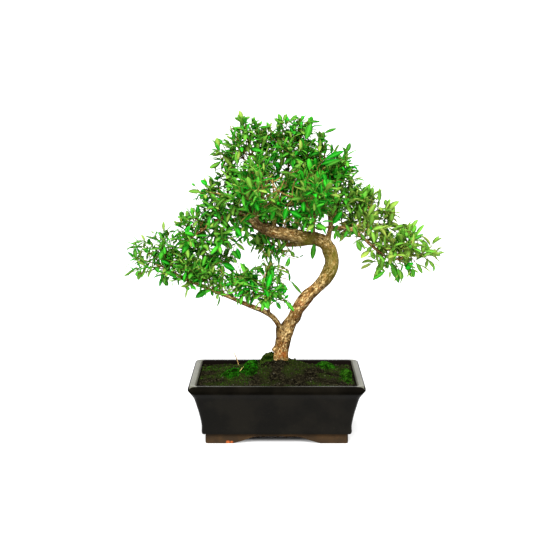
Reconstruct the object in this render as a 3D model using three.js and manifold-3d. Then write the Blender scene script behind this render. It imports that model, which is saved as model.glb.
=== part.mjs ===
// A serissa bonsai: an S-curved tree with a broad crown of small leaves, in a glazed rectangular pot.
// Millimetres, +Z up. Everything is laid out from the middle of the pot's foot, and the finished tree is
// then shifted so that the origin is the bottom centre of its whole outline.
import * as THREE from "three";
import { mergeVertices } from "three/addons/utils/BufferGeometryUtils.js";
import Module from "manifold-3d";

const wasm = await Module();
wasm.setup();

// Driving dimensions.
const GAP = 0.3; // clearance kept between neighbouring pieces

const POT = {
  halfX: 106, // outside of the rim
  halfY: 76,
  corner: 7, // radius of the rim's corners, seen from above
  cornerLoss: 0.15, // how much tighter the corners get per millimetre of inset
  footInset: 19.6, // how far the foot stands in from the rim
  footWall: 9,
  hollowHeight: 9.5, // under the pot, between the feet
  floorTop: 17,
};

// Profiles of the pot, from the bottom up: [inset from the rim's outline, height].
const POT_OUTSIDE = [
  [POT.footInset, 0],
  [POT.footInset, 12],
  [15.8, 12.4],
  [15.2, 15],
  [15.4, 19],
  [15.2, 24],
  [13.2, 35],
  [9.8, 48],
  [7, 57.5],
  [4.4, 62],
  [1.5, 66.4],
  [0, 69],
  [0.4, 72.4],
  [2.4, 74.5],
];
const POT_INSIDE = [
  [26, POT.floorTop],
  [23.5, 20],
  [20.5, 35],
  [16.5, 48],
  [12.8, 60],
  [10, 69.5],
  [8.8, 73],
  [7.6, 75.5],
];
const ARCH_FRONT = { bottom: 53, waist: 36, top: 20, height: 8.8 }; // half widths of the opening
const ARCH_SIDE = { bottom: 30, waist: 20, top: 10, height: 8.8 };
const DRAIN = { radius: 7, offsetX: 42 };
const SCREEN = { size: 20, thickness: 1, hole: 7, bar: 2, holes: 2 };
const SOIL = { edge: 70, edgeInset: 10, mound: 19.5, moundX: 2, moundY: 11, spreadX: 50, spreadY: 36 };
const LEAF = { length: 16, width: 7, thickness: 1, droop: 1.6, widest: 0.46, endSize: 0.85 };
const SHOOT = { rootRadius: 1.2, tipRadius: 0.75, nodeLength: 1.4, sideLength: 0.72, nodes: [0.4, 0.68, 1] };
const PAD = { fullness: 0.76, highest: 0.92, fall: 1.4, goldenAngle: 2.39996 };

// Moss cushions: middle x, y, half length, half width, height, turn in degrees.
const MOSS = [
  ["moss_left", -56, -6, 10.5, 15, 4.5, 10],
  ["moss_middle", -33, -2, 10, 19, 6.5, 0],
  ["moss_by_trunk", -10, 14, 10.5, 11, 8, 0],
  ["moss_back_right", 62.5, 40, 11, 17, 5, -10],
  ["moss_right", 86, -1, 8, 30, 4.5, 0],
];

// Trunk and limbs, root to tip: [x, y, z, radius]. Each limb starts inside the one that bears it.
const LIMBS = {
  trunk: [
    [4.5, 12, 60, 6],
    [4.4, 12, 78, 11.4],
    [4.6, 12, 90, 9.8],
    [5.2, 12, 99, 8.9],
    [7.6, 11, 112, 8.5],
    [12.8, 9, 129, 8.3],
    [18.6, 7, 141, 8.2],
    [26.6, 4, 155, 8],
    [36.2, 2, 169, 7.9],
    [49.2, -1, 182.5, 7.9],
    [60.5, -3, 195, 8.3],
    [67, -5, 209, 8.9],
    [67.2, -6, 224, 8.6],
    [61.5, -6, 236, 8.3],
    [50.5, -7, 243, 8],
    [34, -8, 245.5, 7.8],
    [15, -9, 248.5, 7.6],
    [-6, -11, 253, 7.1],
    [-24, -13, 261, 6.2],
    [-33, -14, 269, 4.8],
  ],
  left_low: [
    [9, 10, 117, 3.4],
    [4, 8, 128, 3.6],
    [0.5, 4, 137, 3.4],
    [-6.5, 0, 146.4, 3.1],
    [-18, -4, 154.3, 2.8],
    [-30.6, -8, 160, 2.6],
    [-57.8, -14, 173, 2.2],
    [-75, -17, 180, 2],
    [-93, -18, 187, 1.8],
    [-115, -16, 196, 1.5],
    [-136, -11, 206, 1.2],
  ],
  inner: [
    [-9.3, -1.5, 149, 1.8],
    [-10.4, -8, 162, 1.5],
    [-12.6, -14, 177, 1.3],
    [-17.4, -20, 188, 1.1],
  ],
  end_left: [
    [-27, -14, 263, 4],
    [-43.8, -15, 275, 3.2],
    [-62, -12, 272, 2.6],
    [-84, -8, 258, 2],
    [-102, -5, 246, 1.3],
  ],
  apex: [
    [-30, -14, 266, 3.8],
    [-37, -8, 287, 2.8],
    [-37, -5, 311, 2.1],
    [-33, -2, 332, 1.5],
    [-33, 0, 347, 1.1],
  ],
  high_left: [
    [-36, -15, 271, 2.6],
    [-48, -12, 284, 1.9],
    [-60, -9, 298, 1.1],
  ],
  crown_mid: [
    [-5, -10.5, 254, 3.4],
    [0, -3, 276, 2.7],
    [8, 5, 299, 2.2],
    [14, 9, 326, 1.6],
    [13, 9, 345, 1.1],
  ],
  crown_right: [
    [1.5, -1, 281, 2.2],
    [26, -6, 288, 2],
    [50, -4, 300, 1.6],
    [58, 4, 320, 1.1],
  ],
  bend: [
    [62, -6, 238, 3.6],
    [66, 2, 257, 2.8],
    [73, 10, 276, 2.2],
    [80, 12, 295, 1.6],
    [76, 12, 313, 1.1],
  ],
  right_low: [
    [66, 1, 254, 2.8],
    [84, 0, 256, 2.5],
    [102, -4, 246.5, 2.2],
    [119, -8, 232, 1.9],
    [138.6, -10, 219, 1.5],
    [154, -10, 219, 1.1],
  ],
  right_up: [
    [90, -1, 254, 2],
    [106, 4, 262, 1.5],
    [117, 7, 271, 1.1],
  ],
  back_left: [
    [-20, -11, 260, 3.2],
    [-30, 16, 274, 2.5],
    [-32, 38, 289, 1.9],
    [-24, 58, 302, 1.1],
  ],
  back_right: [
    [60, -5, 238, 3.4],
    [66, 22, 254, 2.5],
    [64, 42, 272, 1.8],
    [56, 56, 287, 1.1],
  ],
  front_left: [
    [-14, -12, 256.5, 3],
    [-24, -32, 270, 2.3],
    [-27, -48, 286, 1.7],
    [-22, -58, 299, 1.1],
  ],
  front_right: [
    [44, -8, 245, 3],
    [44, -28, 262, 2.3],
    [45, -44, 279, 1.7],
    [42, -54, 293, 1.1],
  ],
  under: [
    [8, -8.5, 248.5, 2],
    [2, 6, 240, 1.5],
    [-6, 14, 235, 1.1],
  ],
  left_back: [
    [-74, -17, 179.8, 1.7],
    [-84, 0, 195, 1.4],
    [-92, 18, 209, 1.1],
  ],
};

// Foliage pads, each an egg of space that a stretch of a limb fills with leafy sprays: name, limb, ends of
// the stretch, middle, reach, number of sprays, and the turn of the first one.
const PADS = [
  ["apex_left", "apex", [0.6, 1], [-36, -4, 346], [38, 38, 40], 4, 4.62],
  ["apex_mid", "crown_mid", [0.6, 1], [17, 6, 349], [42, 38, 38], 4, 6.19],
  ["low_mid", "crown_mid", [0.45, 0.6], [26, -4, 286], [32, 34, 26], 1, 5],
  ["apex_right", "crown_right", [0.6, 1], [56, 6, 328], [36, 38, 38], 3, 3.88],
  ["crown_left", "high_left", [0.5, 1], [-66, -8, 292], [36, 36, 38], 3, 0.74],
  ["front_left", "front_left", [0.5, 1], [-21, -58, 303], [42, 36, 38], 3, 2.31],
  ["front_right", "front_right", [0.5, 1], [40, -56, 297], [42, 36, 38], 3, 2.6],
  ["back_left", "back_left", [0.5, 1], [-20, 58, 305], [42, 38, 40], 3, 5.45],
  ["back_right", "back_right", [0.5, 1], [50, 56, 294], [44, 38, 38], 3, 5.2],
  ["right_mid", "bend", [0.4, 1], [82, 8, 297], [34, 38, 34], 2, 3.88],
  ["right_up", "right_up", [0.45, 1], [111, 8, 268], [38, 40, 30], 3, 3.88],
  ["right_low", "right_low", [0.5, 1], [153, -8, 223], [48, 44, 36], 4, 1.48],
  ["left_upper", "end_left", [0.5, 1], [-84, -5, 254], [40, 42, 32], 3, 0.74],
  ["left_outer", "left_low", [0.72, 1], [-135, -8, 220], [50, 44, 32], 4, 4.62],
  ["left_inner", "left_back", [0.4, 1], [-82, -4, 213], [38, 44, 40], 3, 4.2],
  ["inner", "inner", [0.4, 1], [-20, -18, 192], [46, 34, 32], 3, 0.2],
  ["under", "under", [0.5, 1], [-14, 22, 230], [28, 24, 18], 1, 2.4],
];

const GLAZE = { color: 0x1b1a17, roughness: 0.18, metalness: 0 };
const DAMP_SOIL = { color: 0x2a211a, roughness: 0.95, metalness: 0 };
const MOSS_GREEN = { color: 0x3c7a1e, roughness: 0.95, metalness: 0 };
const BARK = { color: 0xa07a4a, roughness: 0.85, metalness: 0 };
const FOLIAGE = { color: 0x2f8f1f, roughness: 0.5, metalness: 0 };
const SCREEN_PLASTIC = { color: 0x202320, roughness: 0.6, metalness: 0 };

// Solids.
const vec = (x, y, z) => new THREE.Vector3(x, y, z);
const UP = vec(0, 0, 1);

function solidOf(geometry) {
  const bare = geometry.clone();
  bare.deleteAttribute("normal");
  bare.deleteAttribute("uv");
  const merged = mergeVertices(bare, 1e-4);
  const mesh = new wasm.Mesh({
    numProp: 3,
    vertProperties: merged.attributes.position.array,
    triVerts: new Uint32Array(merged.index.array),
  });
  return new wasm.Manifold(mesh);
}

function geometryOf(solid) {
  const mesh = solid.getMesh();
  const geometry = new THREE.BufferGeometry();
  geometry.setAttribute("position", new THREE.BufferAttribute(mesh.vertProperties, 3));
  geometry.setIndex(new THREE.BufferAttribute(mesh.triVerts, 1));
  const flat = geometry.toNonIndexed();
  flat.computeVertexNormals();
  return flat;
}

function named(name, solid, look) {
  const mesh = new THREE.Mesh(geometryOf(solid), new THREE.MeshStandardMaterial(look));
  mesh.name = name;
  return mesh;
}

// A closed skin through rings with equal numbers of points, each ring running anticlockwise about the
// direction in which the rings follow each other. The first and last rings are closed flat.
function loft(rings) {
  const count = rings[0].length;
  const index = [];
  for (let ring = 0; ring + 1 < rings.length; ring++) {
    for (let j = 0; j < count; j++) {
      const a = ring * count + j;
      const b = ring * count + ((j + 1) % count);
      index.push(a, b, b + count, a, b + count, a + count);
    }
  }
  const last = (rings.length - 1) * count;
  for (let j = 1; j + 1 < count; j++) {
    index.push(0, j + 1, j);
    index.push(last, last + j, last + j + 1);
  }
  const geometry = new THREE.BufferGeometry().setFromPoints(rings.flat());
  geometry.setIndex(index);
  return geometry;
}

// A level ring round the pot's axis, `inset` from the rim's outline. Its long sides have `steps` parts.
function potRing(inset, z, steps = 1) {
  const corner = POT.corner - inset * POT.cornerLoss;
  const arcs = [[1, 1], [-1, 1], [-1, -1], [1, -1]].flatMap(([signX, signY], quarter) =>
    [0, 0.5, 1].map((share) => {
      const angle = ((quarter + share) * Math.PI) / 2;
      const x = signX * (POT.halfX - inset - corner) + corner * Math.cos(angle);
      return vec(x, signY * (POT.halfY - inset - corner) + corner * Math.sin(angle), z);
    }),
  );
  return arcs.flatMap((from, j) => {
    const to = arcs[(j + 1) % arcs.length];
    const parts = j % 3 === 2 ? steps : 1;
    return Array.from({ length: parts }, (_, k) => from.clone().lerp(to, k / parts));
  });
}

// Even random numbers from 0 to 1, the same ones for the same seed.
function mulberry32(seed) {
  let state = seed;
  return () => {
    state = (state + 0x6d2b79f5) | 0;
    let t = Math.imul(state ^ (state >>> 15), 1 | state);
    t = (t + Math.imul(t ^ (t >>> 7), 61 | t)) ^ t;
    return ((t ^ (t >>> 14)) >>> 0) / 4294967296;
  };
}

// Pot, soil, moss.
// The bracket-shaped opening between two feet, as a bar that runs through both opposite sides.
function archBar({ bottom, waist, top, height }, length) {
  const shape = new THREE.Shape();
  shape.moveTo(-bottom, -1);
  shape.lineTo(bottom, -1);
  shape.lineTo(bottom, 0);
  shape.quadraticCurveTo(waist + 2, height * 0.45, waist, height * 0.62);
  shape.quadraticCurveTo(top + 8, height, top, height);
  shape.lineTo(-top, height);
  shape.quadraticCurveTo(-top - 8, height, -waist, height * 0.62);
  shape.quadraticCurveTo(-waist - 2, height * 0.45, -bottom, 0);
  shape.closePath();
  const bar = new THREE.ExtrudeGeometry(shape, { depth: length, bevelEnabled: false, curveSegments: 3 });
  return bar.translate(0, 0, -length / 2).rotateX(Math.PI / 2);
}

function pot() {
  const cuts = [
    loft(POT_INSIDE.map(([inset, z]) => potRing(inset, z))),
    loft([-1, POT.hollowHeight].map((z) => potRing(POT.footInset + POT.footWall, z))),
    archBar(ARCH_FRONT, POT.halfY * 2),
    archBar(ARCH_SIDE, POT.halfX * 2).rotateZ(Math.PI / 2),
  ];
  for (const side of [-1, 1]) {
    const hole = new THREE.CylinderGeometry(DRAIN.radius, DRAIN.radius, POT.floorTop, 12).rotateX(Math.PI / 2);
    cuts.push(hole.translate(side * DRAIN.offsetX, 0, POT.floorTop / 2 + 2));
  }
  const outside = solidOf(loft(POT_OUTSIDE.map(([inset, z]) => potRing(inset, z))));
  return cuts.reduce((body, cut) => body.subtract(solidOf(cut)), outside);
}

// A square plastic grid that keeps the soil out of a drainage hole.
function drainScreen(side) {
  const { size, thickness, hole, bar, holes } = SCREEN;
  const middle = POT.floorTop + GAP + thickness / 2;
  let grid = solidOf(new THREE.BoxGeometry(size, size, thickness).translate(side * DRAIN.offsetX, 0, middle));
  for (let i = 0; i < holes; i++) {
    for (let j = 0; j < holes; j++) {
      const x = side * DRAIN.offsetX + (i - (holes - 1) / 2) * (hole + bar);
      const y = (j - (holes - 1) / 2) * (hole + bar);
      grid = grid.subtract(solidOf(new THREE.BoxGeometry(hole, hole, thickness * 3).translate(x, y, middle)));
    }
  }
  return grid;
}

// Height of the soil: level at the wall, heaped round the trunk, with low waves over it.
function soilHeight(x, y, share) {
  const heap = Math.exp(-(((x - SOIL.moundX) / SOIL.spreadX) ** 2) - ((y - SOIL.moundY) / SOIL.spreadY) ** 2);
  const waves = 0.9 * Math.sin(x * 0.13 + 1) * Math.cos(y * 0.17) + 0.6 * Math.sin(x * 0.31 - y * 0.23);
  return SOIL.edge + (SOIL.mound * heap + waves) * (1 - share ** 4);
}

// The block of soil: it keeps its gap from the pot, the screens and the roots' end of the trunk.
function soil(rootSpace) {
  const clear = GAP + 0.1;
  const packed = POT_INSIDE.filter(([, z]) => z < SOIL.edge - 5);
  const rings = packed.map(([inset, z]) => potRing(inset + clear, z + GAP, 3));
  const rim = potRing(SOIL.edgeInset + clear, SOIL.edge, 3);
  for (const share of [1, 0.85, 0.68, 0.5, 0.32, 0.1]) {
    rings.push(rim.map(({ x, y }) => vec(x * share, y * share, soilHeight(x * share, y * share, share))));
  }
  let body = solidOf(loft(rings)).subtract(rootSpace);
  for (const side of [-1, 1]) {
    const size = SCREEN.size + 2 * GAP;
    const pocket = new THREE.BoxGeometry(size, size, 2 * (SCREEN.thickness + 2 * GAP));
    body = body.subtract(solidOf(pocket.translate(side * DRAIN.offsetX, 0, POT.floorTop + GAP)));
  }
  return body;
}

// A moss cushion: a low dome that takes the soil's surface as its underside.
function mossCushion([, x, y, length, width, height, turn], ground, trunkSpace) {
  const dome = new THREE.SphereGeometry(1, 9, 6);
  dome.rotateX(Math.PI / 2).scale(length, width, height * 1.6);
  dome.rotateZ(THREE.MathUtils.degToRad(turn));
  const share = Math.max(Math.abs(x) / (POT.halfX - 10), Math.abs(y) / (POT.halfY - 10));
  dome.translate(x, y, soilHeight(x, y, share) - height * 0.6);
  const lifted = solidOf(geometryOf(ground).translate(0, 0, GAP));
  const below = new THREE.BoxGeometry(2 * POT.halfX, 2 * POT.halfY, 60).translate(0, 0, SOIL.edge - 31.5);
  const body = solidOf(dome).subtract(lifted).subtract(trunkSpace).subtract(solidOf(below));
  return largest(body);
}

function largest(solid) {
  const parts = solid.decompose();
  return parts.reduce((best, part) => (part.volume() > best.volume() ? part : best));
}

// Wood.
function limbCurve(rows) {
  return new THREE.CatmullRomCurve3(rows.map(([x, y, z]) => vec(x, y, z)), false, "catmullrom", 0.5);
}

// A limb through rows of [x, y, z, radius], one ring a row, `extra` thicker and longer than life.
function limb(rows, sides, extra = 0, gnarl = 0) {
  const curve = limbCurve(rows);
  let across = vec(1, 0, 0);
  const rings = rows.map(([, , , radius], step) => {
    const along = curve.getTangent(step / (rows.length - 1));
    if (step === 0 && Math.abs(along.x) > 0.9) across.set(0, 1, 0);
    across = across.clone().addScaledVector(along, -across.dot(along)).normalize();
    const other = along.clone().cross(across);
    const centre = curve.getPoint(step / (rows.length - 1));
    if (step === rows.length - 1) centre.addScaledVector(along, extra);
    return Array.from({ length: sides }, (_, j) => {
      const angle = (j / sides) * Math.PI * 2;
      const knob = 1 + gnarl * (Math.sin(2 * angle + step * 0.9) + 0.6 * Math.sin(3 * angle - step * 1.7));
      const point = centre.clone().addScaledVector(across, (radius * knob + extra) * Math.cos(angle));
      return point.addScaledVector(other, (radius * knob + extra) * Math.sin(angle));
    });
  });
  return solidOf(loft(rings));
}

// The whole woody frame: trunk and limbs grown into one solid.
function wood(extra = 0) {
  const { trunk, ...limbs } = LIMBS;
  const sides = (rows) => (rows[0][3] > 3.3 ? 6 : 5);
  return Object.values(limbs).reduce(
    (body, rows) => body.add(limb(rows, sides(rows), extra)),
    limb(trunk, 10, extra, 0.045),
  );
}

// Leafy sprays.
// Two directions square to `along`, the first of them level.
function sideways(along) {
  const level = along.clone().cross(UP);
  if (level.length() < 0.05) level.set(1, 0, 0);
  level.normalize();
  return [level, along.clone().cross(level).normalize()];
}

// A spray's tip lies on its pad's egg, each one lower than the last and turned by the golden angle.
function sprayTip({ middle, reach, count, turn }, index) {
  const height = PAD.highest - (PAD.fall * index) / Math.max(count - 1, 1);
  const round = Math.sqrt(1 - height * height);
  const angle = turn + index * PAD.goldenAngle;
  const offset = vec(round * Math.cos(angle), round * Math.sin(angle), height);
  return vec(...middle).add(offset.multiply(vec(...reach)).multiplyScalar(PAD.fullness));
}

// A spray's main shoot leaves the limb, the highest one nearest its end. `bend` moves its elbow aside.
function mainShoot(pad, index, lift, bend) {
  const tip = sprayTip(pad, index);
  const [from, to] = pad.stretch;
  const place = to - ((to - from) * index) / pad.count - 0.02;
  const curve = limbCurve(LIMBS[pad.limb]);
  const base = curve.getPoint(place);
  const heading = curve.getTangent(place);
  const length = base.distanceTo(tip);
  const elbow = base.clone().lerp(tip, 0.45);
  elbow.addScaledVector(heading, length * 0.16).addScaledVector(UP, length * (0.05 + 0.08 * lift));
  const [level, other] = sideways(tip.clone().sub(base).normalize());
  elbow.addScaledVector(level, bend[0]).addScaledVector(other, bend[1]);
  return new THREE.QuadraticBezierCurve3(base, elbow, tip);
}

// A side shoot starts at `share` of the main shoot and goes `out` from it.
function sideShoot(main, share, out) {
  const start = main.getPoint(share);
  const along = main.getTangent(share);
  const reach = SHOOT.sideLength * THREE.MathUtils.clamp(main.getLength(), 26, 40) * (1 - 0.3 * share);
  const middle = start.clone().addScaledVector(along, reach * 0.25).addScaledVector(out, reach * 0.42);
  const end = start.clone().addScaledVector(along, reach * 0.55).addScaledVector(out, reach * 0.8);
  end.addScaledVector(UP, reach * 0.15);
  return new THREE.QuadraticBezierCurve3(start, middle, end);
}

// Rings of four points along a shoot. A node, where leaves and side shoots stand, is the short stretch
// between two rings, and its facets face four ways square to the shoot.
function shootStations(curve, nodes, rootRadius, tipRadius) {
  const half = SHOOT.nodeLength / 2 / curve.getLength();
  const middles = nodes.map((share) => Math.min(share, 1 - half));
  const shares = [0, ...middles.flatMap((share) => [share - half, share + half])];
  let across = null;
  return shares.map((share) => {
    const along = curve.getTangent(share);
    across = across || sideways(along)[0];
    across = across.clone().addScaledVector(along, -across.dot(along)).normalize();
    const other = along.clone().cross(across);
    const centre = curve.getPoint(share);
    const radius = THREE.MathUtils.lerp(rootRadius, tipRadius, share);
    const points = [0, 1, 2, 3].map((j) => {
      const angle = (j - 0.5) * (Math.PI / 2);
      const point = centre.clone().addScaledVector(across, radius * Math.cos(angle));
      return point.addScaledVector(other, radius * Math.sin(angle));
    });
    return { centre, along, ways: [across, other, across.clone().negate(), other.clone().negate()], points };
  });
}

const shootSolid = (stations) => solidOf(loft(stations.map((station) => station.points)));

// Four points round a blade at `share` of its length: edge, face, edge, back.
function bladeRing({ root, along, face, length, width }, share) {
  const fullness = share < LEAF.widest ? share / LEAF.widest : (1 - share) / (1 - LEAF.widest);
  const side = face.clone().cross(along).normalize();
  const centre = root.clone().addScaledVector(along, share * length);
  centre.addScaledVector(face, -LEAF.droop * share * share);
  const half = (width / 2) * fullness;
  const thick = (LEAF.thickness / 2) * fullness;
  return [
    centre.clone().addScaledVector(side, half),
    centre.clone().addScaledVector(face, thick),
    centre.clone().addScaledVector(side, -half),
    centre.clone().addScaledVector(face, -thick),
  ];
}

// A leaf on a shoot: `out` is the way its facet faces, `spread` the angle between it and the shoot, and
// `roll` turns its face from the sky.
function leafAt(root, stem, out, spread, roll, size) {
  const along = stem.clone().multiplyScalar(Math.cos(spread)).addScaledVector(out, Math.sin(spread));
  along.normalize();
  const face = UP.clone().addScaledVector(stem, 0.5);
  face.addScaledVector(along, -face.dot(along));
  if (face.length() < 0.1) face.copy(sideways(along)[1]);
  face.normalize().applyAxisAngle(along, roll);
  return { root, along, face, length: LEAF.length * size, width: LEAF.width * size };
}

// The skin of a whole spray, grown ring by ring: a leaf or a side shoot takes the place of a facet.
class Skin {
  constructor() {
    this.points = [];
    this.index = [];
  }

  ring(points) {
    return points.map((point) => this.points.push(point) - 1);
  }

  // The ring that follows `from`, turned so that the wall between the two is twisted least.
  follow(from, points) {
    const turned = [0, 1, 2, 3].map((turn) => points.map((_, j) => points[(j + turn) % 4]));
    const twist = (ring) => from.reduce((sum, a, j) => sum + this.points[a].distanceToSquared(ring[j]), 0);
    return this.ring(turned.reduce((best, ring) => (twist(ring) < twist(best) ? ring : best)));
  }

  wall(from, to, open = []) {
    for (let j = 0; j < 4; j++) {
      const next = (j + 1) % 4;
      if (open.includes(j)) continue;
      this.index.push(from[j], from[next], to[next], from[j], to[next], to[j]);
    }
  }

  leaf(from, leaf) {
    const middle = this.follow(from, bladeRing(leaf, LEAF.widest));
    this.wall(from, middle);
    const tip = this.ring([bladeRing(leaf, 1)[0]])[0];
    for (let j = 0; j < 4; j++) this.index.push(middle[j], middle[(j + 1) % 4], tip);
  }

  // A shoot on its root ring `from`. Its nodes bear what `borne` lists for them, facet by facet.
  shoot(from, { stations, borne, end }) {
    const second = this.follow(from, stations[1].points);
    this.wall(from, second);
    const shift = stations[1].points.indexOf(this.points[second[0]]);
    let last = second.map((_, j) => second[(j + 4 - shift) % 4]);
    stations.slice(2).forEach((station, k) => {
      const next = this.ring(station.points);
      const bearing = k % 2 === 0 ? borne.filter((item) => item.node === k / 2) : [];
      this.wall(last, next, bearing.map((item) => item.facet));
      for (const item of bearing) {
        const [j, beside] = [item.facet, (item.facet + 1) % 4];
        const facet = [last[j], last[beside], next[beside], next[j]];
        if (item.leaf) this.leaf(facet, item.leaf);
        else this.shoot(facet, item.shoot);
      }
      last = next;
    });
    if (end) this.leaf(last, end);
    else this.index.push(last[0], last[1], last[2], last[0], last[2], last[3]);
  }

  // Closes a root ring flat.
  floor(ring) {
    this.index.push(ring[0], ring[2], ring[1], ring[0], ring[3], ring[2]);
  }

  solid() {
    const mesh = new wasm.Mesh({
      numProp: 3,
      vertProperties: new Float32Array(this.points.flatMap((point) => point.toArray())),
      triVerts: new Uint32Array(this.index),
    });
    return new wasm.Manifold(mesh);
  }
}

// A leaf or side shoot by itself, closed at its root. `trim` is the share of its first stretch left off.
function borneSolid(facet, { leaf, shoot }, trim = 0) {
  const skin = new Skin();
  const root = skin.ring(facet);
  skin.floor(root);
  if (leaf) skin.leaf(root, leaf);
  else skin.shoot(root, shoot);
  for (const j of root) skin.points[j] = skin.points[j].clone().lerp(skin.points[j + 4], trim);
  return skin.solid();
}

function facetOf(shoot, node, facet) {
  const [near, far] = [shoot.stations[1 + 2 * node].points, shoot.stations[2 + 2 * node].points];
  return [near[facet], near[(facet + 1) % 4], far[(facet + 1) % 4], far[facet]];
}

// Solids already standing in the crown, each with the spray that owns it.
class Crown {
  constructor(woodSpace) {
    this.woodSpace = woodSpace;
    this.taken = [];
  }

  near(solid, other, gap) {
    const [a, b] = [solid.boundingBox(), other.boundingBox()];
    if ([0, 1, 2].some((i) => a.min[i] - 1 > b.max[i] || b.min[i] - 1 > a.max[i])) return false;
    return solid.minGap(other, 1) < gap;
  }

  // Whether a piece keeps its distance from the other sprays, and from its own beyond its root.
  isApart(whole, outer, owner) {
    return this.taken.every((other) => {
      if (other.owner !== owner) return !this.near(whole, other.whole, GAP);
      if (!outer) return true;
      return !this.near(outer, other.whole, 0.2) && !(other.outer && this.near(whole, other.outer, 0.2));
    });
  }

  isClear(whole, outer, owner) {
    return whole.intersect(this.woodSpace).isEmpty() && this.isApart(whole, outer, owner);
  }

  take(whole, outer, owner) {
    this.taken.push({ whole, outer, owner });
  }
}

// Ways to clear a neighbour: sideways shifts of a shoot's elbow, and angles between a leaf and its shoot.
const BENDS = [[0, 0], [5, 0], [-5, 0], [0, 5], [0, -5], [9, 4], [-9, 4], [9, -4], [-9, -4], [13, 0], [-13, 0]];
const SPREADS = [0.95, 1.2, 0.75, 1.4];

// Main shoots are laid first, each bent clear of the ones before it.
function layMainShoot(spray, crown) {
  for (const bend of BENDS) {
    const curve = mainShoot(spray.pad, spray.index, spray.draw(), bend);
    const stations = shootStations(curve, SHOOT.nodes, SHOOT.rootRadius, SHOOT.tipRadius);
    const solid = largest(shootSolid(stations).subtract(crown.woodSpace));
    if (!crown.isApart(solid, null, spray.name)) continue;
    crown.take(solid, null, spray.name);
    spray.curve = curve;
    spray.main = { stations, borne: [] };
    return;
  }
  throw new Error(`${spray.name}: no clear way for its main shoot`);
}

// Each lower node of a main shoot bears a side shoot on the first facet that has room for it.
function laySideShoots(spray, crown) {
  spray.sides = [];
  SHOOT.nodes.slice(0, -1).forEach((share, node) => {
    const preferred = Math.floor(spray.draw() * 4) + 2 * node;
    for (const facet of [0, 2, 1, 3].map((turn) => (preferred + turn) % 4)) {
      const station = spray.main.stations[1 + 2 * node];
      const curve = sideShoot(spray.curve, share, station.ways[facet]);
      const stations = shootStations(curve, [0.5, 1], SHOOT.tipRadius, SHOOT.tipRadius * 0.8);
      const side = { stations, borne: [] };
      const root = facetOf(spray.main, node, facet);
      const whole = borneSolid(root, { shoot: side });
      if (!crown.isClear(whole, borneSolid(root, { shoot: side }, 0.3), spray.name)) continue;
      crown.take(whole, null, spray.name);
      spray.sides.push(side);
      spray.main.borne.push({ node, facet, shoot: side });
      return;
    }
  });
}

// Tries to stand a leaf on a facet, or on the end of a shoot, and gives back the leaf if it is clear.
function layLeaf(spray, crown, facet, stem, out, size) {
  const root = facet.reduce((sum, point) => sum.addScaledVector(point, 0.25), vec(0, 0, 0));
  const roll = (spray.draw() - 0.5) * 2.6;
  for (const spread of out ? SPREADS : [0.12]) {
    const leaf = leafAt(root, stem, out || sideways(stem)[1], spread, roll, size);
    const whole = borneSolid(facet, { leaf });
    const outer = borneSolid(facet, { leaf }, 0.25);
    if (!crown.isClear(whole, outer, spray.name)) continue;
    crown.take(whole, outer, spray.name);
    return leaf;
  }
  return null;
}

// Leaves go on last: ends first, then pairs that turn a quarter from node to node.
function layLeaves(spray, crown) {
  for (const shoot of [spray.main, ...spray.sides]) {
    const last = shoot.stations[shoot.stations.length - 1];
    shoot.end = layLeaf(spray, crown, last.points, last.along, null, LEAF.endSize);
  }
  for (const shoot of [spray.main, ...spray.sides]) {
    const nodes = (shoot.stations.length - 1) / 2;
    for (let node = nodes - 1; node >= 0; node--) {
      for (let facet = 0; facet < 4; facet++) {
        const taken = shoot.borne.filter((item) => item.node === node);
        const most = node === 0 ? 2 : 3; // leaves and side shoots at one node
        if (taken.some((item) => item.facet === facet) || taken.length >= most) continue;
        if (!taken.some((item) => item.shoot) && (facet + node) % 2 === 1) continue;
        const station = shoot.stations[1 + 2 * node];
        const size = 0.85 + 0.3 * spray.draw();
        const root = facetOf(shoot, node, facet);
        const leaf = layLeaf(spray, crown, root, station.along, station.ways[facet], size);
        if (leaf) shoot.borne.push({ node, facet, leaf });
      }
    }
  }
}

// All the sprays, laid in turns: every main shoot, every side shoot, then every leaf.
function sprays(woodSpace) {
  const crown = new Crown(woodSpace);
  const all = PADS.flatMap(([name, limb, stretch, middle, reach, count, turn], row) =>
    Array.from({ length: count }, (_, index) => ({
      name: `spray_${name}_${index + 1}`,
      pad: { limb, stretch, middle, reach, count, turn },
      index,
      draw: mulberry32(1000 * row + index + 1),
    })),
  );
  for (const spray of all) layMainShoot(spray, crown);
  for (const spray of all) laySideShoots(spray, crown);
  for (const spray of all) layLeaves(spray, crown);
  for (const spray of all) {
    const skin = new Skin();
    const first = skin.ring(spray.main.stations[0].points);
    skin.floor(first);
    skin.shoot(first, spray.main);
    spray.body = largest(skin.solid().subtract(woodSpace));
  }
  return all;
}

// The tree.
function bonsai() {
  const group = new THREE.Group();
  const woodSpace = wood(GAP + 0.05);
  const ground = soil(woodSpace);
  group.add(named("pot", pot(), GLAZE));
  group.add(named("soil", ground, DAMP_SOIL));
  group.add(named("drain_screen_left", drainScreen(-1), SCREEN_PLASTIC));
  group.add(named("drain_screen_right", drainScreen(1), SCREEN_PLASTIC));
  group.add(named("trunk_and_limbs", wood(), BARK));
  const trunkSpace = wood(3 * GAP);
  for (const row of MOSS) group.add(named(row[0], mossCushion(row, ground, trunkSpace), MOSS_GREEN));
  for (const { name, body } of sprays(woodSpace)) group.add(named(name, body, FOLIAGE));
  return group;
}

const tree = bonsai();
const outline = new THREE.Box3().setFromObject(tree);
const centre = outline.getCenter(vec(0, 0, 0));
for (const mesh of tree.children) mesh.position.set(-centre.x, -centre.y, -outline.min.z);

export default tree;
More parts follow.
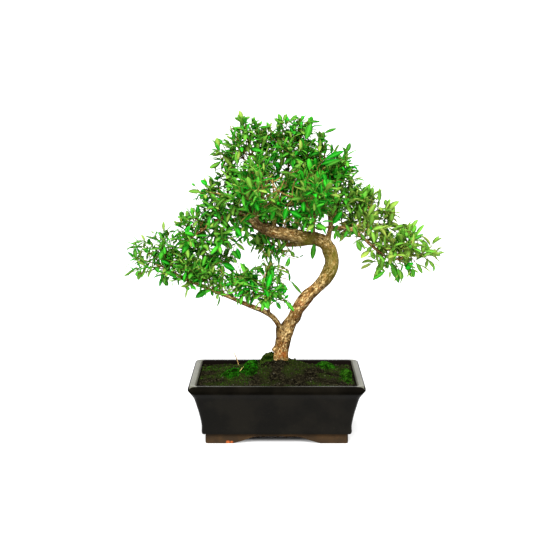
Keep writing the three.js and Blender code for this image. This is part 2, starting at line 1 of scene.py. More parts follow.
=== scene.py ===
"""The looks of a serissa bonsai in a glazed pot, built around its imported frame.

Tables are in millimetres from the middle of the pot's foot, as in the part's own source. `placed` turns them
into metres in the frame. Every new piece is a surface worked out from formulas, and rides on the one body.
"""
import itertools
import math

import bpy
import numpy as np
from mathutils.kdtree import KDTree
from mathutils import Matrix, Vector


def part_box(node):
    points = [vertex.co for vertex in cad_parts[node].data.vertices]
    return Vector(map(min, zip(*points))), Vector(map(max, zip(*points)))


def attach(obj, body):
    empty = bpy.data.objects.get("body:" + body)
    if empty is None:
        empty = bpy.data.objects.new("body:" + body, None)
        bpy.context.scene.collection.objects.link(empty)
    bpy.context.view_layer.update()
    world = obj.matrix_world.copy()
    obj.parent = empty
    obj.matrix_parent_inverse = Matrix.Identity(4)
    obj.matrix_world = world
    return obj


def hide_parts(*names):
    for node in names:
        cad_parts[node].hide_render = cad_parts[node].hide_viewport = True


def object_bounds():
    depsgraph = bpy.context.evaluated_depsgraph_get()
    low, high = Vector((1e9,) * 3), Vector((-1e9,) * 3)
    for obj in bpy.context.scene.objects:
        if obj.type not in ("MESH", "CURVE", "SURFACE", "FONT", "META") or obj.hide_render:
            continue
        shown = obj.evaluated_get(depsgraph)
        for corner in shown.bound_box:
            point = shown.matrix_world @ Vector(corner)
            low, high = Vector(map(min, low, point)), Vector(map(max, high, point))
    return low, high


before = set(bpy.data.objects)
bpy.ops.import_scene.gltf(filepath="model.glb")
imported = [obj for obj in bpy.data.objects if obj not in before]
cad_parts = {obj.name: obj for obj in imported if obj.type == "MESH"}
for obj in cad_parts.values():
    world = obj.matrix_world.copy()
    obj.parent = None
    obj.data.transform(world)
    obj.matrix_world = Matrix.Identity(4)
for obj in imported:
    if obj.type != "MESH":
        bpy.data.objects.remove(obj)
cad_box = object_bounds()

MM = 0.001
UP = np.array([0.0, 0.0, 1.0])
pot_low, pot_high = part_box("pot")
POT_MIDDLE = np.array([(pot_low.x + pot_high.x) / 2, (pot_low.y + pot_high.y) / 2, pot_low.z])

# Trunk and limbs, root to tip: x, y, z, radius.
LIMBS = {
    "trunk": [
        (4.5, 12, 60, 6), (4.4, 12, 78, 11.4), (4.6, 12, 90, 9.8), (5.2, 12, 99, 8.9), (7.9, 11, 112, 9.4),
        (13.4, 9, 129, 9.6), (19.4, 7, 141, 8.4), (26.8, 4, 155, 8.4), (37, 2, 169, 7.9),
        (49.4, -1, 182.5, 7.1), (59.9, -3, 195, 8.5), (66.8, -5, 209, 8.9), (65.9, -6, 224, 8.9),
        (60.4, -6, 235.8, 8.7), (50.5, -7, 242.4, 8.2), (34, -8, 245, 7.9), (15, -9, 248.5, 7.6),
        (-6, -11, 253, 7.1), (-24, -13, 261, 6.2), (-33, -14, 269, 4.8),
    ],
    "left_low": [
        (9, 10, 117, 3.4), (4, 8, 128, 3.6), (0.5, 4, 137, 3.5), (-6.5, 0, 146, 3.4), (-18, -4, 153.7, 3.2),
        (-30.6, -8, 159.4, 3), (-57.8, -14, 172.4, 2.5), (-75, -17, 179.6, 2.2), (-93, -18, 187, 1.9),
        (-115, -16, 196, 1.5), (-136, -11, 206, 1.2),
    ],
    "inner": [(-9.3, -1.5, 149, 1.8), (-10.4, -8, 162, 1.5), (-12.6, -14, 177, 1.3), (-17.4, -20, 188, 1.1)],
    "end_left": [
        (-27, -14, 263, 4), (-43.8, -15, 275, 3.2), (-62, -12, 272, 2.6), (-84, -8, 258, 2),
        (-102, -5, 246, 1.3),
    ],
    "apex": [
        (-30, -14, 266, 3.8), (-37, -8, 287, 2.8), (-37, -5, 311, 2.1), (-33, -2, 332, 1.5),
        (-33, 0, 347, 1.1),
    ],
    "high_left": [(-36, -15, 271, 2.6), (-48, -12, 284, 1.9), (-60, -9, 298, 1.1)],
    "crown_mid": [
        (-5, -10.5, 254, 3.4), (0, -3, 276, 2.7), (8, 5, 299, 2.2), (14, 9, 326, 1.6), (13, 9, 345, 1.1),
    ],
    "crown_right": [(1.5, -1, 281, 2.2), (26, -6, 288, 2), (50, -4, 300, 1.6), (58, 4, 320, 1.1)],
    "bend": [
        (62, -6, 238, 3.6), (66, 2, 257, 2.8), (73, 10, 276, 2.2), (80, 12, 295, 1.6), (76, 12, 313, 1.1),
    ],
    "right_low": [
        (66, 1, 254, 2.8), (84, 0, 256, 2.5), (102, -4, 246.5, 2.2), (119, -8, 232, 1.9),
        (138.6, -10, 219, 1.5), (154, -10, 219, 1.1),
    ],
    "right_up": [(90, -1, 254, 2), (106, 4, 262, 1.5), (117, 7, 271, 1.1)],
    "back_left": [(-20, -11, 260, 3.2), (-30, 16, 274, 2.5), (-32, 38, 289, 1.9), (-24, 58, 302, 1.1)],
    "back_right": [(60, -5, 238, 3.4), (66, 22, 254, 2.5), (64, 42, 272, 1.8), (56, 56, 287, 1.1)],
    "front_left": [(-14, -12, 256.5, 3), (-24, -32, 270, 2.3), (-27, -48, 286, 1.7), (-22, -58, 299, 1.1)],
    "front_right": [(44, -8, 245, 3), (44, -28, 262, 2.3), (45, -44, 279, 1.7), (42, -54, 293, 1.1)],
    "under": [(8, -8.5, 248.5, 2), (2, 6, 240, 1.5), (-6, 14, 235, 1.1)],
    "left_back": [(-74, -17, 179.8, 1.7), (-84, 0, 195, 1.4), (-92, 18, 209, 1.1)],
}

# Foliage pads: limb, ends of the stretch that bears the sprays, middle, reach, number of sprays, first turn.
PADS = {
    "apex_left": ("apex", (0.6, 1), (-36, -4, 346), (38, 38, 40), 4, 4.62),
    "apex_mid": ("crown_mid", (0.6, 1), (17, 6, 349), (42, 38, 38), 4, 6.19),
    "low_mid": ("crown_mid", (0.45, 0.6), (26, -4, 286), (32, 34, 26), 1, 5),
    "apex_right": ("crown_right", (0.6, 1), (56, 6, 328), (36, 38, 38), 3, 3.88),
    "crown_left": ("high_left", (0.5, 1), (-66, -8, 292), (36, 36, 38), 3, 0.74),
    "front_left": ("front_left", (0.5, 1), (-21, -58, 303), (42, 36, 38), 3, 2.31),
    "front_right": ("front_right", (0.5, 1), (40, -56, 297), (42, 36, 38), 3, 2.6),
    "back_left": ("back_left", (0.5, 1), (-20, 58, 305), (42, 38, 40), 3, 5.45),
    "back_right": ("back_right", (0.5, 1), (50, 56, 294), (44, 38, 38), 3, 5.2),
    "right_mid": ("bend", (0.4, 1), (82, 8, 297), (34, 38, 34), 2, 3.88),
    "right_up": ("right_up", (0.45, 1), (111, 8, 268), (38, 40, 30), 3, 3.88),
    "right_low": ("right_low", (0.5, 1), (153, -8, 223), (48, 44, 36), 4, 1.48),
    "left_upper": ("end_left", (0.5, 1), (-84, -5, 254), (40, 42, 32), 3, 0.74),
    "left_outer": ("left_low", (0.72, 1), (-135, -8, 220), (50, 44, 32), 4, 4.62),
    "left_inner": ("left_back", (0.4, 1), (-82, -4, 213), (38, 44, 40), 3, 4.2),
    "inner": ("inner", (0.4, 1), (-20, -18, 192), (46, 34, 32), 3, 0.2),
    "under": ("under", (0.5, 1), (-14, 22, 230), (28, 24, 18), 1, 2.4),
}
PAD_FULLNESS = 0.76
PAD_HIGHEST = 0.92
PAD_FALL = 1.4
GOLDEN_ANGLE = 2.39996

LEAF_LENGTH = 14.5
LEAF_SIZES = (0.58, 0.8)  # the smallest leaf as a share of that, and how far the largest is past it
LEAF_SLIMNESS = 0.36  # width as a share of length
LEAF_THICKNESS = 0.45
LEAF_SPREAD = (1.0, 0.2)  # angle from the shoot in radians, mean and scatter
LEAF_BEND = (0.55, 0.35)  # along its length in radians, mean and scatter
NODE_SPACING = 4.46  # between leaf pairs on a shoot
SIDE_SHOOTS = (0.3, 0.5, 0.68, 0.84, 0.95)  # shares of the main shoot
SIDE_LENGTH = 0.66
SHOOT_RADII = (1.15, 0.5)
SIDE_RADII = 0.4  # at a side shoot's end
LEAFY_FROM = 0.3  # share of a shoot where its leaves begin
BARE_SHARE = 0.2  # of side shoots, which bear leaves at their ends alone
BARE_UNTIL = 0.72  # share of such a shoot that is bare
INFILL_RADII = (0.9, 0.45)
LONG_RADII = (0.8, 0.45)
STALK_RADII = (0.55, 0.35)  # of a single leaf's stalk
STALK_AGE = 0.5  # 0 is green and 1 is brown
BARE_RADII = (1.0, 0.6)  # of a twig without leaves
BARE_AGE = 0.75
GREEN_AGE = 0.35
TWIG_STATIONS = 6
TWIG_SIDES = 5
LONE_FACE = (0, -0.9, 0.45)  # single leaves face the front and a little up

# Short shoots along the limbs between the pads: ends of the stretch, spacing, reach.
INFILL = {
    "trunk": (0.74, 1.0, 6, 30),
    "end_left": (0.2, 1.0, 8, 26),
    "apex": (0.15, 1.0, 9, 26),
    "high_left": (0.3, 1.0, 9, 22),
    "crown_mid": (0.15, 1.0, 9, 28),
    "crown_right": (0.15, 1.0, 8, 28),
    "bend": (0.2, 1.0, 9, 28),
    "right_low": (0.2, 1.0, 8, 26),
    "right_up": (0.3, 1.0, 8, 26),
    "back_left": (0.3, 1.0, 10, 26),
    "back_right": (0.3, 1.0, 10, 26),
    "front_left": (0.3, 1.0, 10, 24),
    "front_right": (0.3, 1.0, 10, 24),
    "under": (0.3, 1.0, 8, 20),
    "left_back": (0.3, 1.0, 9, 24),
    "inner": (0.35, 1.0, 8, 24),
    "left_low": (0.52, 1.0, 9, 24),
}
INFILL_SIDES = (0.4, 0.62, 0.82)
INFILL_LEAN = (0, 0, 0.35)
LIMB_LEANS = {"right_low": (0, 0, 0.9), "right_up": (0, 0, 0.6), "left_low": (0, 0, 1.5)}
TRUNK_LEAN = (0, 0.5, 1.0)  # the trunk's own shoots rise behind it

# Long shoots that stand clear of the pads, by the pad whose piece holds them: root, elbow, tip.
LONG_SHOOTS = {
    "inner": [
        ((-14, -15, 180), (-8, -20, 200), (-5, -18, 211)), ((-10.5, -8, 160), (6, -16, 178), (18, -11, 163)),
        ((-16, -18, 186), (-30, -18, 196), (-42, -16, 192)),
        ((-14, -15, 180), (-28, -20, 187), (-50, -20, 180)),
        ((-14, -16, 182), (-34, -22, 182), (-46, -22, 172)),
        ((-12, -16, 186), (-18, -20, 192), (-30, -22, 196)),
    ],
    "apex_left": [((-36, -4, 352), (-38, -5, 374), (-44, -4, 385))],
    "crown_left": [((-58, -9, 320), (-66, -10, 338), (-71, -8, 352))],
    "left_outer": [
        ((-136, -11, 206), (-158, -9, 212), (-180, -8, 201)),
        ((-136, -11, 206), (-158, -8, 232), (-172, -8, 235)),
        ((-130, -11, 205), (-146, -12, 236), (-160, -10, 240)),
        ((-100, -18, 190), (-94, -28, 194), (-87, -30, 189)),
        ((-106, -17, 192), (-104, -28, 193), (-106, -30, 188)),
        ((-124, -14, 201), (-132, -26, 204), (-140, -28, 203)),
        ((-84, -18, 183), (-76, -28, 184), (-70, -30, 178)),
        ((-112, -16, 195), (-118, -28, 198), (-124, -30, 195)),
    ],
    "right_mid": [((78, 10, 318), (80, 8, 334), (86, 6, 344))],
    "right_up": [((112, 6, 270), (118, 6, 286), (115, 4, 294))],
    "apex_right": [((58, 4, 340), (57, 4, 352), (58, 2, 362))],
    "apex_mid": [
        ((13, 9, 345), (2, 6, 366), (-8, 2, 376)), ((13, 9, 345), (6, 6, 372), (5, 2, 384)),
        ((10, 9, 350), (-4, 4, 362), (-12, 0, 372)), ((13, 9, 345), (10, 6, 374), (12, 4, 386)),
        ((14, 9, 340), (24, 6, 370), (30, 4, 384)), ((20, 8, 350), (34, 4, 372), (40, 2, 382)),
    ],
    "left_upper": [
        ((-43.8, -15, 275), (-50, -18, 262), (-46, -16, 246)),
        ((-56, -13, 272), (-64, -16, 258), (-60, -14, 243)),
        ((-36, -15, 271), (-38, -20, 258), (-36, -16, 246)),
        ((-70, -11, 268), (-76, -16, 254), (-70, -14, 240)),
        ((-62, -12, 272), (-72, -14, 276), (-72, -12, 285)),
        ((-48, -15, 275), (-52, -26, 272), (-50, -32, 262)),
        ((-60, -12, 272), (-66, -26, 270), (-70, -32, 264)),
        ((-40, -15, 273), (-42, -28, 268), (-38, -34, 258)),
    ],
    "under": [
        ((-6, 14, 235), (-18, 12, 228), (-26, 10, 232)), ((-12, -9, 256), (-14, 2, 242), (-12, 8, 226)),
        ((-2, 6, 240), (-4, 10, 230), (-1, 12, 222)), ((4, 0, 232), (10, -6, 226), (4, -8, 221)),
        ((13, -3, 237), (0, -6, 232), (-6, -8, 225)),
    ],
    "right_low": [
        ((138, -10, 219), (148, -12, 212), (150, -12, 203)),
        ((146, -10, 218), (160, -12, 214), (163, -12, 204)),
    ],
}

# Single leaves that stand out, by pad: root, tip, width as a share of length, bend, shade, youth. A low shade
# is partly painted shade, for the leaves under the trunk and inside the crown.
LONE_LEAVES = {
    "apex_left": [
        ((-41, -4, 387), (-45, -4, 398), 0.45, 0.2, 0.6, 0.8),
        ((-71, -8, 350), (-72, -8, 366), 0.45, 0.2, 0.5, 0.75),
        ((-57, -4, 369), (-63, -4, 370), 0.35, 0.2, 0.1, 0.3),
        ((-36, -4, 378), (-50, -4, 378), 0.22, 0.8, 0.1, 0.3),
        ((-30, -4, 382), (-21, -4, 387), 0.2, 0.3, 0.2, 0.3),
        ((-40, -4, 387), (-32, -4, 391), 0.4, 0.3, 0.4, 0.3),
        ((-41, -4, 385), (-51, -4, 390), 0.4, 0.3, 0.3, 0.3),
    ],
    "crown_left": [
        ((-83, -8, 308), (-92, -8, 315), 0.5, 0.2, 0.75, 0),
        ((-85, -8, 302), (-93, -8, 291), 0.45, 0.2, 0.5, 0.15),
        ((-72, -8, 350), (-83, -8, 345), 0.14, 0.7, 0.1, 0.2),
        ((-66, -8, 342), (-75, -8, 340), 0.16, 0.7, 0, 0.1),
        ((-66, -8, 314), (-82, -8, 306), 0.2, 0.5, 0.5, 0.5),
    ],
    "apex_mid": [
        ((36, 0, 384), (52, 0, 386), 0.22, 0.5, 0.12, 0.1),
        ((-5, -4, 380), (-20, -4, 378), 0.22, 0.5, 0.18, 0.3), ((6, 0, 384), (2, 0, 394), 0.5, 0.3, 0.4, 0.2),
        ((8, 0, 385), (12, 0, 394), 0.5, 0.3, 0.3, 0.3), ((6, 0, 382), (-3, 0, 389), 0.4, 0.3, 0.2, 0.2),
        ((16, 0, 384), (24, 0, 393), 0.4, 0.3, 0.3, 0.2),
    ],
    "apex_right": [
        ((56, 0, 370), (72, 0, 378), 0.22, 0.5, 0.15, 0.1),
        ((85, 4, 347), (89, 4, 359), 0.45, 0.2, 0.15, 0.1),
        ((34, -12, 362), (41, -12, 383), 0.42, 0.3, 0.42, 0.1),
        ((56, -18, 339), (80, -18, 352), 0.24, 0.4, 0.36, 0),
        ((52, -22, 334), (74, -24, 342), 0.26, 0.5, 0.24, 0),
        ((58, -28, 332), (75, -30, 341), 0.24, 0.4, 0.12, 0.1),
    ],
    "front_left": [
        ((-26, -60, 316), (-19, -60, 331), 0.3, 0.3, 0.3, 0.2),
        ((-36, -60, 305), (-33, -60, 321), 0.4, 0.3, 0.36, 0),
        ((-41, -60, 270), (-28, -60, 280), 0.38, 0.3, 0.42, 0),
        ((-28, -60, 290), (-39, -60, 295), 0.38, 0.3, 0.36, 0),
        ((-16, -64, 290), (-4, -64, 304), 0.14, 0.4, 0.48, 0.4),
        ((-22, -20, 270), (-16, -20, 264), 0.4, 0.3, 0.8, 0.05),
    ],
    "front_right": [
        ((16, -62, 328), (30, -62, 340), 0.24, 0.3, 0.24, 0.3),
        ((50, -64, 286), (57, -64, 301), 0.42, 0.2, 0.42, 0),
        ((8, -54, 271), (13, -54, 287), 0.42, 0.2, 0.42, 0),
        ((15, -66, 283), (30, -66, 276), 0.4, 0.3, 0.36, 0),
        ((58, -60, 315), (53, -60, 330), 0.4, 0.2, 0.36, 0),
    ],
    "right_mid": [((67, -22, 262), (78, -22, 278), 0.4, 0.2, 0.42, 0)],
    "right_up": [
        ((137, 4, 257), (144, 4, 281), 0.3, 0.2, 0.36, 0.5),
        ((134, 6, 281), (133, 6, 290), 0.6, 0.2, 0.18, 0.35),
        ((144, 0, 275), (152, 0, 274), 0.2, 0.3, 0.1, 0.6),
        ((131, -8, 261), (136, -8, 247), 0.34, 0.6, 0.1, 0.05),
        ((115, -14, 255), (113, -14, 246), 0.5, 0.3, 0.9, 0),
        ((120, -10, 255), (120, -10, 244), 0.25, 0.3, 0.1, 0.3),
        ((109, -8, 253), (116, -8, 245), 0.45, 0.3, 0.9, 0),
        ((115, -14, 260), (112, -14, 249), 0.4, 0.3, 0.8, 0),
        ((96, -8, 253), (90, -8, 248), 0.4, 0.4, 0.2, 0),
    ],
    "right_low": [
        ((72, -10, 253), (70, -10, 242), 0.36, 0.2, 0.5, 0.2),
        ((162, -10, 253), (141, -10, 258), 0.2, 0.7, 0.4, 0.45),
        ((163, -12, 242), (153, -12, 255), 0.34, 0.3, 0.8, 0.35),
        ((164, -12, 250), (169, -12, 260), 0.5, 0.2, 0.7, 0.3),
        ((165, -12, 242), (178, -12, 250), 0.3, 0.3, 0.3, 0.15),
        ((171, -12, 244), (187, -12, 235), 0.28, 0.7, 0.6, 0.4),
        ((166, -14, 237), (182, -14, 236), 0.2, 0.5, 0.3, 0.5),
        ((177, -12, 230), (201, -12, 225), 0.3, 0.5, 0.8, 0.35),
        ((184, -8, 218), (195, -8, 207), 0.27, 0.6, 0.5, 0.5),
        ((169, -12, 215), (179, -12, 201), 0.28, 0.4, 0.3, 0.35),
        ((166, -16, 215), (156, -16, 207), 0.6, 0.3, 0.9, 0),
        ((165, -14, 209), (167, -14, 196), 0.42, 0.3, 0.4, 0.15),
        ((159, -10, 205), (166, -10, 196), 0.3, 0.3, 0, 0.1),
        ((143, -14, 209), (150, -14, 189), 0.3, 0.5, 0.4, 0.15),
        ((146, -16, 208), (155, -16, 195), 0.4, 0.4, 0.8, 0.25),
        ((133, -14, 205), (116, -14, 194), 0.27, 0.4, 0.6, 0.15),
        ((138, -12, 205), (138, -12, 195), 0.25, 0.2, 0.2, 0.8),
        ((129, -14, 222), (128, -14, 206), 0.4, 0.3, 0.4, 0.4),
        ((114, -10, 229), (120, -10, 218), 0.5, 0.3, 0.8, 0.5),
        ((98, -10, 244), (109, -10, 230), 0.2, 0.4, 0.4, 0.4),
        ((143, -8, 241), (150, -8, 249), 0.45, 0.2, 0.2, 0.4),
        ((164, -18, 238), (158, -18, 226), 0.5, 0.3, 0.7, 0.2),
        ((168, -14, 228), (173, -14, 221), 0.6, 0.3, 0.7, 0.85),
        ((182, -12, 225), (176, -12, 221), 0.6, 0.2, 0, 0.1),
        ((158, -12, 237), (148, -12, 236), 0.35, 0.6, 0.1, 0.4),
        ((137, -12, 241), (130, -12, 239), 0.5, 0.2, 0.5, 0.05),
        ((144, -12, 241), (146, -12, 233), 0.4, 0.2, 0.8, 0.2),
        ((126, -14, 220), (123, -14, 212), 0.4, 0.3, 0.4, 0.4),
        ((133, -14, 218), (136, -14, 207), 0.35, 0.3, 0.3, 0.1),
        ((136, -16, 216), (143, -16, 208), 0.4, 0.4, 0.6, 0.2),
        ((141, -16, 216), (133, -16, 212), 0.35, 0.4, 0.5, 0.3),
        ((121, -8, 228), (124, -8, 220), 0.4, 0.3, 0.2, 0.3),
        ((132, -12, 215), (122, -12, 203), 0.4, 0.3, 0.5, 0.3),
        ((140, -14, 216), (146, -14, 195), 0.36, 0.3, 0.4, 0.2),
        ((154, -12, 215), (165, -12, 203), 0.36, 0.3, 0.5, 0.3),
        ((165, -12, 235), (176, -12, 223), 0.36, 0.3, 0.3, 0.3),
        ((116, -10, 235), (109, -10, 225), 0.45, 0.3, 0.4, 0.4),
        ((97, -10, 242), (103, -10, 228), 0.45, 0.3, 0.5, 0.3),
        ((143, -10, 257), (157, -10, 261), 0.3, 0.3, 0.3, 0.4),
        ((70, -8, 256), (78, -8, 244), 0.4, 0.3, 0.35, 0.2),
        ((75, -8, 261), (68, -8, 252), 0.4, 0.3, 0.5, 0.15),
        ((83, -16, 262), (89, -16, 252), 0.38, 0.3, 0.3, 0.3),
        ((92, -14, 260), (98, -14, 247), 0.38, 0.3, 0.4, 0.25),
        ((87, -14, 255), (81, -14, 245), 0.4, 0.3, 0.5, 0.1),
        ((98, -14, 255), (93, -14, 263), 0.38, 0.3, 0.35, 0.3),
        ((101, -14, 251), (108, -14, 242), 0.36, 0.3, 0.4, 0.3),
    ],
    "left_outer": [
        ((-171, -8, 208), (-186, -8, 198), 0.18, 0.5, 0.15, 0.15),
        ((-82, -20, 183), (-100, -20, 173), 0.4, 0.3, 0.35, 0.03),
        ((-138, -12, 197), (-135, -12, 185), 0.34, 0.3, 0.3, 0.1),
        ((-140, -8, 240), (-160, -8, 248), 0.13, 0.5, 0, 0.15),
        ((-162, -8, 240), (-176, -8, 239), 0.2, 0.4, 0.2, 0.25),
        ((-163, -8, 234), (-180, -8, 233), 0.16, 0.4, 0.15, 0.25),
        ((-163, -10, 229), (-171, -10, 219), 0.25, 0.3, 0, 0.05),
        ((-165, -10, 227), (-175, -10, 224), 0.2, 0.3, 0.2, 0.25),
        ((-109, -20, 193), (-110, -20, 182), 0.4, 0.2, 0.1, 0.3),
        ((-102, -20, 191), (-104, -20, 183), 0.4, 0.2, 0.1, 0.2),
        ((-80, -24, 182), (-77, -24, 175), 0.5, 0.2, 0.05, 0.05),
        ((-132, -6, 251), (-139, -6, 253), 0.35, 0.2, 0.05, 0.1),
        ((-132, -6, 251), (-124, -6, 253), 0.35, 0.2, 0.05, 0.1),
        ((-129, -26, 214), (-140, -26, 220), 0.35, 0.3, 0.45, 0),
        ((-121, -26, 201), (-135, -26, 206), 0.35, 0.3, 0.4, 0.12),
        ((-116, -26, 195), (-127, -26, 198), 0.35, 0.3, 0.25, 0.05),
        ((-92, -26, 193), (-104, -26, 198), 0.4, 0.3, 0.45, 0),
        ((-96, -26, 187), (-84, -26, 189), 0.35, 0.3, 0.3, 0.3),
        ((-142, -14, 200), (-132, -14, 186), 0.4, 0.3, 0.25, 0.1),
        ((-130, -14, 198), (-139, -14, 190), 0.4, 0.3, 0.15, 0.15),
        ((-154, -10, 215), (-164, -10, 205), 0.3, 0.3, 0.2, 0.15),
    ],
    "left_inner": [
        ((-67, -14, 214), (-50, -14, 206), 0.42, 0.3, 0.3, 0),
        ((-49, -14, 234), (-44, -14, 219), 0.36, 0.3, 0.4, 0),
        ((-66, -14, 199), (-68, -14, 189), 0.45, 0.2, 0.3, 0.4),
    ],
    "inner": [
        ((13, -14, 209), (15, -14, 221), 0.4, 0.2, 0.6, 0.1),
        ((-1, -14, 167), (5, -14, 157), 0.42, 0.2, 0.7, 0.1),
        ((10, -16, 168), (22, -16, 155), 0.3, 0.3, 0.75, 0.2),
        ((-53, -22, 190), (-77, -22, 187), 0.22, 0.4, 0.8, 0),
        ((17, -12, 191), (32, -12, 176), 0.17, 0.5, 0, 0.2),
        ((10, -14, 209), (16, -14, 220), 0.33, 0.2, 0.4, 0.3),
        ((2, -14, 192), (15, -14, 181), 0.22, 0.6, 0.1, 0.1),
        ((-15, -18, 212), (-30, -18, 208), 0.2, 0.9, 0, 0.3),
        ((-43, -18, 198), (-34, -18, 210), 0.13, 0.3, 0, 0.3),
        ((5, -14, 206), (4, -14, 196), 0.45, 0.2, 0.1, 0.4),
        ((11, -16, 187), (8, -16, 176), 0.5, 0.3, 0.8, 0),
        ((-4, -22, 195), (-6, -22, 211), 0.3, 0.3, 0.5, 0.05),
        ((-9, -22, 196), (-10, -22, 206), 0.4, 0.3, 0.3, 0.1),
        ((0, -26, 183), (-16, -26, 177), 0.42, 0.4, 0.6, 0),
        ((-4, -28, 182), (-4, -28, 172), 0.5, 0.3, 0.8, 0),
        ((-20, -22, 172), (-17, -22, 163), 0.6, 0.3, 0.4, 0.4),
        ((-25, -24, 172), (-13, -24, 169), 0.4, 0.3, 0.2, 0.2),
        ((-45, -22, 195), (-54, -22, 187), 0.4, 0.4, 0.6, 0.25),
        ((-54, -20, 184), (-61, -20, 180), 0.4, 0.3, 0.4, 0.5),
        ((-31, -24, 183), (-42, -24, 185), 0.35, 0.6, 0.3, 0),
        ((-31, -26, 188), (-24, -26, 180), 0.45, 0.3, 0.5, 0),
        ((-17, -20, 199), (-26, -20, 202), 0.2, 0.9, 0, 0.2),
        ((-17, -20, 195), (-25, -20, 193), 0.25, 0.5, 0, 0.2),
        ((-37, -22, 194), (-45, -22, 194), 0.3, 0.6, 0, 0.1),
        ((-40, -24, 177), (-31, -24, 175), 0.35, 0.3, 0.3, 0.2),
        ((-49, -18, 180), (-51, -18, 172), 0.4, 0.3, 0.1, 0.2),
        ((-18, -14, 230), (-14, -14, 222), 0.16, 0.3, 0, 0.2),
        ((-15, -14, 224), (-10, -14, 213), 0.18, 0.3, 0, 0.2),
        ((-19, -14, 215), (-12, -14, 210), 0.4, 0.3, 0, 0.1),
        ((-8, -14, 213), (-12, -14, 207), 0.5, 0.3, 0, 0.2),
        ((-12, -14, 205), (-14, -14, 210), 0.5, 0.3, 0, 0.2),
        ((-5, -12, 210), (4, -12, 210), 0.24, 0.2, 0, 0.15),
        ((3, -12, 211), (12, -12, 206), 0.24, 0.2, 0, 0.15),
        ((10, -12, 208), (16, -12, 200), 0.24, 0.2, 0, 0.1),
        ((15, -12, 203), (16, -12, 191), 0.24, 0.2, 0, 0), ((16, -12, 192), (22, -12, 188), 0.2, 0.2, 0, 0),
        ((-3, -14, 211), (-4, -14, 202), 0.25, 0.2, 0.1, 0.2),
        ((1, -14, 200), (4, -14, 187), 0.35, 0.3, 0.1, 0.1), ((6, -16, 190), (2, -16, 174), 0.4, 0.3, 0.4, 0),
        ((0, -18, 183), (6, -18, 169), 0.4, 0.3, 0.2, 0.2),
        ((7, -14, 170), (14, -14, 164), 0.4, 0.3, 0.3, 0.1),
        ((-5, -22, 175), (-12, -22, 166), 0.5, 0.3, 0.5, 0),
        ((-22, -22, 191), (-32, -22, 182), 0.4, 0.3, 0.2, 0.3),
        ((-36, -20, 181), (-44, -20, 173), 0.4, 0.3, 0.3, 0.2),
        ((-30, -18, 174), (-38, -18, 167), 0.4, 0.3, 0.1, 0.3),
        ((-59, -14, 180), (-52, -14, 170), 0.4, 0.3, 0.2, 0.2),
    ],
    "on_trunk": [((46, -12, 240), (43, -12, 218), 0.3, 0.2, 0.24, 0.1)],
    "left_upper": [
        ((-109, -6, 267), (-121, -6, 271), 0.3, 0.3, 0.7, 0.35),
        ((-109, -6, 267), (-104, -6, 271), 0.4, 0.2, 0.6, 0.2),
        ((-56, -14, 230), (-44, -14, 219), 0.36, 0.3, 0.4, 0.1),
        ((-51, -14, 240), (-38, -14, 230), 0.27, 0.4, 0.5, 0.5),
        ((-34, -14, 260), (-27, -14, 252), 0.4, 0.3, 0.8, 0.05),
        ((-27, -12, 260), (-33, -12, 251), 0.4, 0.3, 0.7, 0.1),
        ((-57, -12, 270), (-51, -12, 259), 0.4, 0.3, 0.6, 0.2),
        ((-50, -10, 270), (-56, -10, 262), 0.4, 0.3, 0.8, 0.1),
    ],
    # Under the trunk the leaves get the darkest shade: painted shade of the trunk above them.
    "under": [
        ((-17, 0, 228), (-11, 0, 215), 0.28, 0.4, 0, 0.1),
        ((-26, -4, 238), (-33, -4, 224), 0.15, 0.4, 0, 0.1),
        ((-20, -2, 224), (-24, -2, 216), 0.2, 0.4, 0, 0.2), ((-7, 2, 222), (-7, 2, 214), 0.3, 0.3, 0, 0),
        ((-2, 2, 223), (-2, 2, 219), 0.5, 0.3, 0, 0), ((17, -12, 229), (22, -12, 222), 0.5, 0.3, 0, 0.2),
        ((9, -6, 228), (8, -6, 222), 0.35, 0.3, 0, 0), ((-24, -10, 249), (-23, -10, 236), 0.5, 0.3, 0, 0.35),
        ((-18, -10, 248), (-12, -10, 236), 0.4, 0.3, 0.1, 0.1),
        ((-12, -14, 244), (-8, -14, 236), 0.35, 0.3, 0.8, 0.1),
        ((-6, -10, 245), (-2, -10, 236), 0.4, 0.3, 0, 0.2),
        ((-8, -8, 236), (-12, -8, 222), 0.35, 0.3, 0.1, 0),
        ((-2, -10, 236), (-8, -10, 230), 0.4, 0.3, 0.4, 0), ((-5, -8, 234), (-1, -8, 225), 0.4, 0.3, 0, 0),
        ((2, -8, 244), (4, -8, 231), 0.35, 0.3, 0, 0.35), ((4, -6, 236), (2, -6, 224), 0.35, 0.3, 0, 0),
        ((8, -6, 243), (10, -6, 232), 0.3, 0.3, 0, 0.35), ((12, -8, 239), (3, -8, 229), 0.35, 0.3, 0, 0.15),
        ((9, 4, 242), (15, 4, 235), 0.5, 0.3, 0, 0.4), ((4, 4, 245), (9, 4, 237), 0.5, 0.3, 0, 0.35),
        ((-1, 4, 244), (4, 4, 235), 0.5, 0.3, 0, 0.3), ((14, 3, 241), (21, 3, 235), 0.4, 0.3, 0, 0.4),
        ((-7, -8, 226), (-7, -8, 215), 0.25, 0.3, 0, 0), ((-19, -8, 233), (-26, -8, 230), 0.4, 0.3, 0, 0.3),
        ((-11, -8, 232), (-17, -8, 234), 0.4, 0.3, 0.1, 0.1),
        ((-4, -6, 225), (-1, -6, 220), 0.35, 0.3, 0, 0.1), ((-15, -4, 233), (-6, -4, 231), 0.35, 0.3, 0, 0.1),
        ((-24, -4, 238), (-15, -4, 234), 0.4, 0.3, 0, 0.2),
        ((12, -10, 234), (18, -10, 226), 0.24, 0.2, 0, 0.3),
        ((16, -12, 227), (22, -12, 221), 0.42, 0.2, 0, 0.35),
        ((21, -12, 222), (28, -12, 221), 0.24, 0.2, 0, 0.1),
        ((27, -12, 221), (33, -12, 224), 0.24, 0.2, 0, 0),
        ((20, -10, 236), (18, -10, 228), 0.22, 0.2, 0, 0.2),
